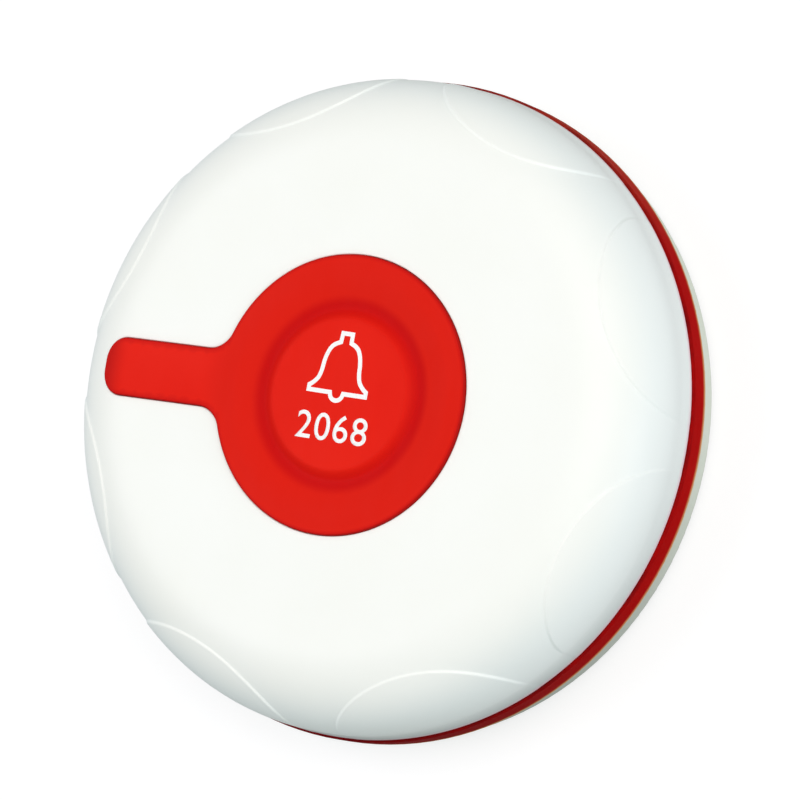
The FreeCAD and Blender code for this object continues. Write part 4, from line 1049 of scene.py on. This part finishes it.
def make_pad():
    """The press pad: its crown turns down at the edge and runs out in a soft foot in the groove."""
    build = Builder()
    start, end = PAD_SHOULDER_START, PAD_SHOULDER_END
    steps = 16
    profile = [(start * step / steps, pad_level(start * step / steps)) for step in range(steps + 1)]
    top = profile[-1][1]
    for step in range(1, steps + 1):
        share = step / steps
        level = top - (top - GROOVE_LEVEL) * share * share * (3 - 2 * share)
        profile.append((start + (end - start) * share, level))
    under = GROOVE_LEVEL - WEB_THICKNESS
    profile += [(FOOT_RADIUS, GROOVE_LEVEL), (FOOT_RADIUS, under), (PAD_RADIUS, under)]
    profile += [(PAD_RADIUS, PAD_BOTTOM), (PAD_POCKET_RADIUS, PAD_BOTTOM)]
    profile += [(PAD_POCKET_RADIUS, PAD_POCKET_LEVEL), (0, PAD_POCKET_LEVEL)]
    build.lathe(profile, ROUND_COUNT, closed=False)
    pad = new_piece("press_pad", build.mesh("press_pad"), "face_red", "button")
    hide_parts("button_pad")


def make_snap_dome():
    """The switch's snap dome, carried on the housing. Its foot stays in the switch body."""
    mesh = nodes["switch_dome"].data.copy()
    mesh.name = "snap_dome"
    dome = new_piece("snap_dome", mesh, "contact_nickel", "housing")
    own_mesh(dome)
    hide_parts("switch_dome")


# --- the print on the pad ---

BELL_CROWN = (0.98, 7.95)
BELL_FOOT = (4.4, -0.17)
BELL_SHOULDER = [(1.03, 6.72), (1.6, 6.45), (2.15, 5.98), (2.58, 5.15), (2.86, 4.0)]
BELL_MOUTH = [(2.98, 2.83), (3.25, 1.9), (3.85, 1.22), (4.4, 0.85)]
CLAPPER_LEVEL = 0.03
CLAPPER_SIZE = (1.19, 1.17)
CLAPPER_STEPS = 22


def smooth_path(corners, steps):
    """A smooth open path through the corners."""
    ends = [corners[0], *corners, corners[-1]]
    points = []
    for index in range(1, len(ends) - 2):
        p0, p1, p2, p3 = (Vector(p) for p in ends[index - 1:index + 3])
        for step in range(steps):
            t = step / steps
            curve = (2 * p0 - 5 * p1 + 4 * p2 - p3) * t ** 2 + (3 * p1 - p0 - 3 * p2 + p3) * t ** 3
            points.append(0.5 * (2 * p1 + (p2 - p0) * t + curve))
    points.append(Vector(corners[-1]))
    return points


def inset(outline, depth):
    """A closed outline moved inwards by depth, with pointed corners. It runs anticlockwise."""
    moved = []
    for index, point in enumerate(outline):
        before = (point - outline[index - 1]).normalized()
        after = (outline[(index + 1) % len(outline)] - point).normalized()
        inward = Vector((-before.y - after.y, before.x + after.x)).normalized()
        share = inward.dot(Vector((-before.y, before.x)))
        moved.append(point + inward * (depth / max(share, 0.35)))
    return moved


def bell_outline():
    """The outer edge of a plain bell with a square crown and a round clapper in its mouth."""
    side = smooth_path(BELL_SHOULDER + BELL_MOUTH, 6)
    right = [Vector(BELL_FOOT), *side[::-1], Vector(BELL_CROWN)]
    left = [Vector((-point.x, point.y)) for point in right[::-1]]
    width, depth = CLAPPER_SIZE
    clapper = []
    for step in range(CLAPPER_STEPS + 1):
        angle = math.pi * (1.06 + 0.88 * step / CLAPPER_STEPS)
        clapper.append(Vector((width * math.cos(angle), CLAPPER_LEVEL + depth * math.sin(angle))))
    return left + clapper + right


def bell_mesh():
    """The bell's line as a flat mesh."""
    outer = bell_outline()
    inner = inset(outer, PRINT_STROKE)
    faces, points, _ = faces_between(outer + inner, outer, inner, 1e-5)
    mesh = bpy.data.meshes.new("bell")
    mesh.from_pydata([(point.x, point.y, 0) for point in points], [], faces)
    return mesh


def number_mesh():
    """The plain number in the built-in font, as a flat mesh."""
    curve = bpy.data.curves.new("number", "FONT")
    curve.body = NUMBER
    curve.align_x = "CENTER"
    curve.resolution_u = 5
    curve.offset = 0.004
    curve.space_character = 1.08
    carrier = new_object("number", curve)
    mesh = evaluated_mesh(carrier, "number")
    bpy.data.objects.remove(carrier)
    scale = NUMBER_HEIGHT / max(v.co.y for v in mesh.vertices)
    mesh.transform(Matrix.Translation((*NUMBER_PLACE, 0)) @ Matrix.Scale(scale, 4))
    return mesh


def make_print():
    """A bell and a plain number, printed on the pad and bent to its crown."""
    form = bmesh.new()
    form.from_mesh(bell_mesh())
    form.from_mesh(number_mesh())
    bmesh.ops.delete(form, geom=[v for v in form.verts if not v.link_faces], context="VERTS")
    bmesh.ops.remove_doubles(form, verts=form.verts, dist=0.001)
    place = Matrix.Translation((PRINT_SHIFT, 0, 0)) @ Matrix.Rotation(PRINT_TURN, 4, "Z")
    bmesh.ops.transform(form, matrix=place, verts=form.verts)
    for axis in (Vector((1, 0, 0)), Vector((0, 1, 0))):
        for step in range(-16, 17):
            parts = form.verts[:] + form.edges[:] + form.faces[:]
            cut = axis * (step * PRINT_GRID)
            bmesh.ops.bisect_plane(form, geom=parts, plane_co=cut, plane_no=axis, dist=0.0001)
    for vert in form.verts:
        vert.co.z = pad_level(math.hypot(vert.co.x, vert.co.y)) + PRINT_HEIGHT
    for face in form.faces:
        if face.normal.z < 0:
            face.normal_flip()
    sunk = bmesh.ops.extrude_face_region(form, geom=form.faces[:])
    for item in sunk["geom"]:
        if isinstance(item, bmesh.types.BMVert):
            item.co.z -= PRINT_HEIGHT * 2
    bmesh.ops.recalc_face_normals(form, faces=form.faces)
    for vert in form.verts:
        vert.co *= MM
    mesh = bpy.data.meshes.new("pad_print")
    form.to_mesh(mesh)
    form.free()
    new_piece("pad_print", mesh, "actuator_white", "button", make_print_white().material)


# --- light, floor and camera ---

FLOOR_HALF = 1.5
FLOOR_LEVEL = -0.00005  # just clear of the adhesive pad, so that the two faces don't coincide
FLOOR_SEEN = (0.34, 0.34, 0.34, 1)
FLOOR_LIT = (0.47, 0.47, 0.47, 1)
GLOW_SEEN = 0.72
GLOW_MIRRORED = 0.15
LAMPS = (  # azimuth from +X and elevation in degrees, distance, then side, power and colour
    ("overhead", 30, 65, 1.2, 0.9, 6.0, (1.0, 0.87, 0.87)),
    ("low_side", 0, 12, 1.0, 0.6, 3.75, (0.87, 0.91, 0.99)),
    ("tail_side", 180, 50, 1.2, 0.7, 4.85, (0.93, 0.89, 1.0)),
)
CASE_MIDDLE = Vector((0, 0, 0.01))


def make_floor():
    """A plain white floor that keeps the button's shadow."""
    mesh = bpy.data.meshes.new("floor")
    sides = [(-1, -1), (1, -1), (1, 1), (-1, 1)]
    mesh.from_pydata([(x * FLOOR_HALF, y * FLOOR_HALF, FLOOR_LEVEL) for x, y in sides], [], [(0, 1, 2, 3)])
    floor = new_object("floor", mesh)
    material, tree = new_material("floor_white")
    path = tree.node("ShaderNodeLightPath").outputs
    mirrored = tree.math("MAXIMUM", path["Is Glossy Ray"], path["Is Transmission Ray"])
    direct = tree.times(path["Is Camera Ray"], GLOW_SEEN)
    seen = tree.math("MULTIPLY_ADD", mirrored, GLOW_MIRRORED, direct)
    pale = tree.mix(path["Is Camera Ray"], FLOOR_LIT, FLOOR_SEEN)
    diffuse = tree.node("ShaderNodeBsdfDiffuse", {"Color": pale}).outputs[0]
    glow = tree.node("ShaderNodeEmission", {"Color": (1, 1, 1, 1), "Strength": seen}).outputs[0]
    both = tree.node("ShaderNodeAddShader", {0: diffuse, 1: glow}).outputs[0]
    tree.node("ShaderNodeOutputMaterial", {"Surface": both})
    mesh.materials.append(material)


def make_lights():
    """An even sky and three soft square lamps that face the middle of the case."""
    world = bpy.data.worlds.new("studio")
    world.use_nodes = True
    background = world.node_tree.nodes["Background"]
    background.inputs["Color"].default_value = (0.85, 1.0, 0.96, 1.0)
    background.inputs["Strength"].default_value = 0.45
    bpy.context.scene.world = world
    for name, azimuth, elevation, distance, side, power, colour in LAMPS:
        lamp = bpy.data.lights.new(name, "AREA")
        lamp.shape = "SQUARE"
        lamp.size = side
        lamp.energy = power
        lamp.color = colour
        turn, rise = math.radians(azimuth), math.radians(elevation)
        level_part = math.cos(rise)
        away = Vector((level_part * math.cos(turn), level_part * math.sin(turn), math.sin(rise)))
        holder = new_object(name, lamp)
        holder.location = CASE_MIDDLE + away * distance
        holder.rotation_euler = (-away).to_track_quat("-Z", "Y").to_euler()


def make_camera():
    """The camera, from its place and the directions of its right, its top and its view."""
    place = Vector((0.310855, -0.039916, 0.563807))
    right = Vector((0.866632, 0.166454, -0.470363))
    up = Vector((-0.114695, 0.983926, 0.136874))
    forward = Vector((-0.485586, 0.064671, -0.871793))
    camera = bpy.data.cameras.new("view")
    camera.lens = 225.0
    camera.sensor_width = 36.0
    camera.clip_start = 0.01
    holder = new_object("view", camera)
    turned = Matrix((right, up, -forward)).transposed().to_4x4()
    holder.matrix_world = Matrix.Translation(place) @ turned
    bpy.context.scene.camera = holder


# --- dressing the carried-over pieces ---

for part in frame["record"]["subparts"]:
    node_mesh = nodes[part["node"]].data
    if not node_mesh.materials:
        node_mesh.materials.append(None)
    for index in range(len(node_mesh.materials)):
        node_mesh.materials[index] = FINISHES[part["material_slot"]]

make_top_shell()
make_face()
make_web()
make_pad()
make_snap_dome()
make_print()
make_floor()
make_lights()
make_camera()
bpy.context.scene.view_settings.view_transform = "Standard"
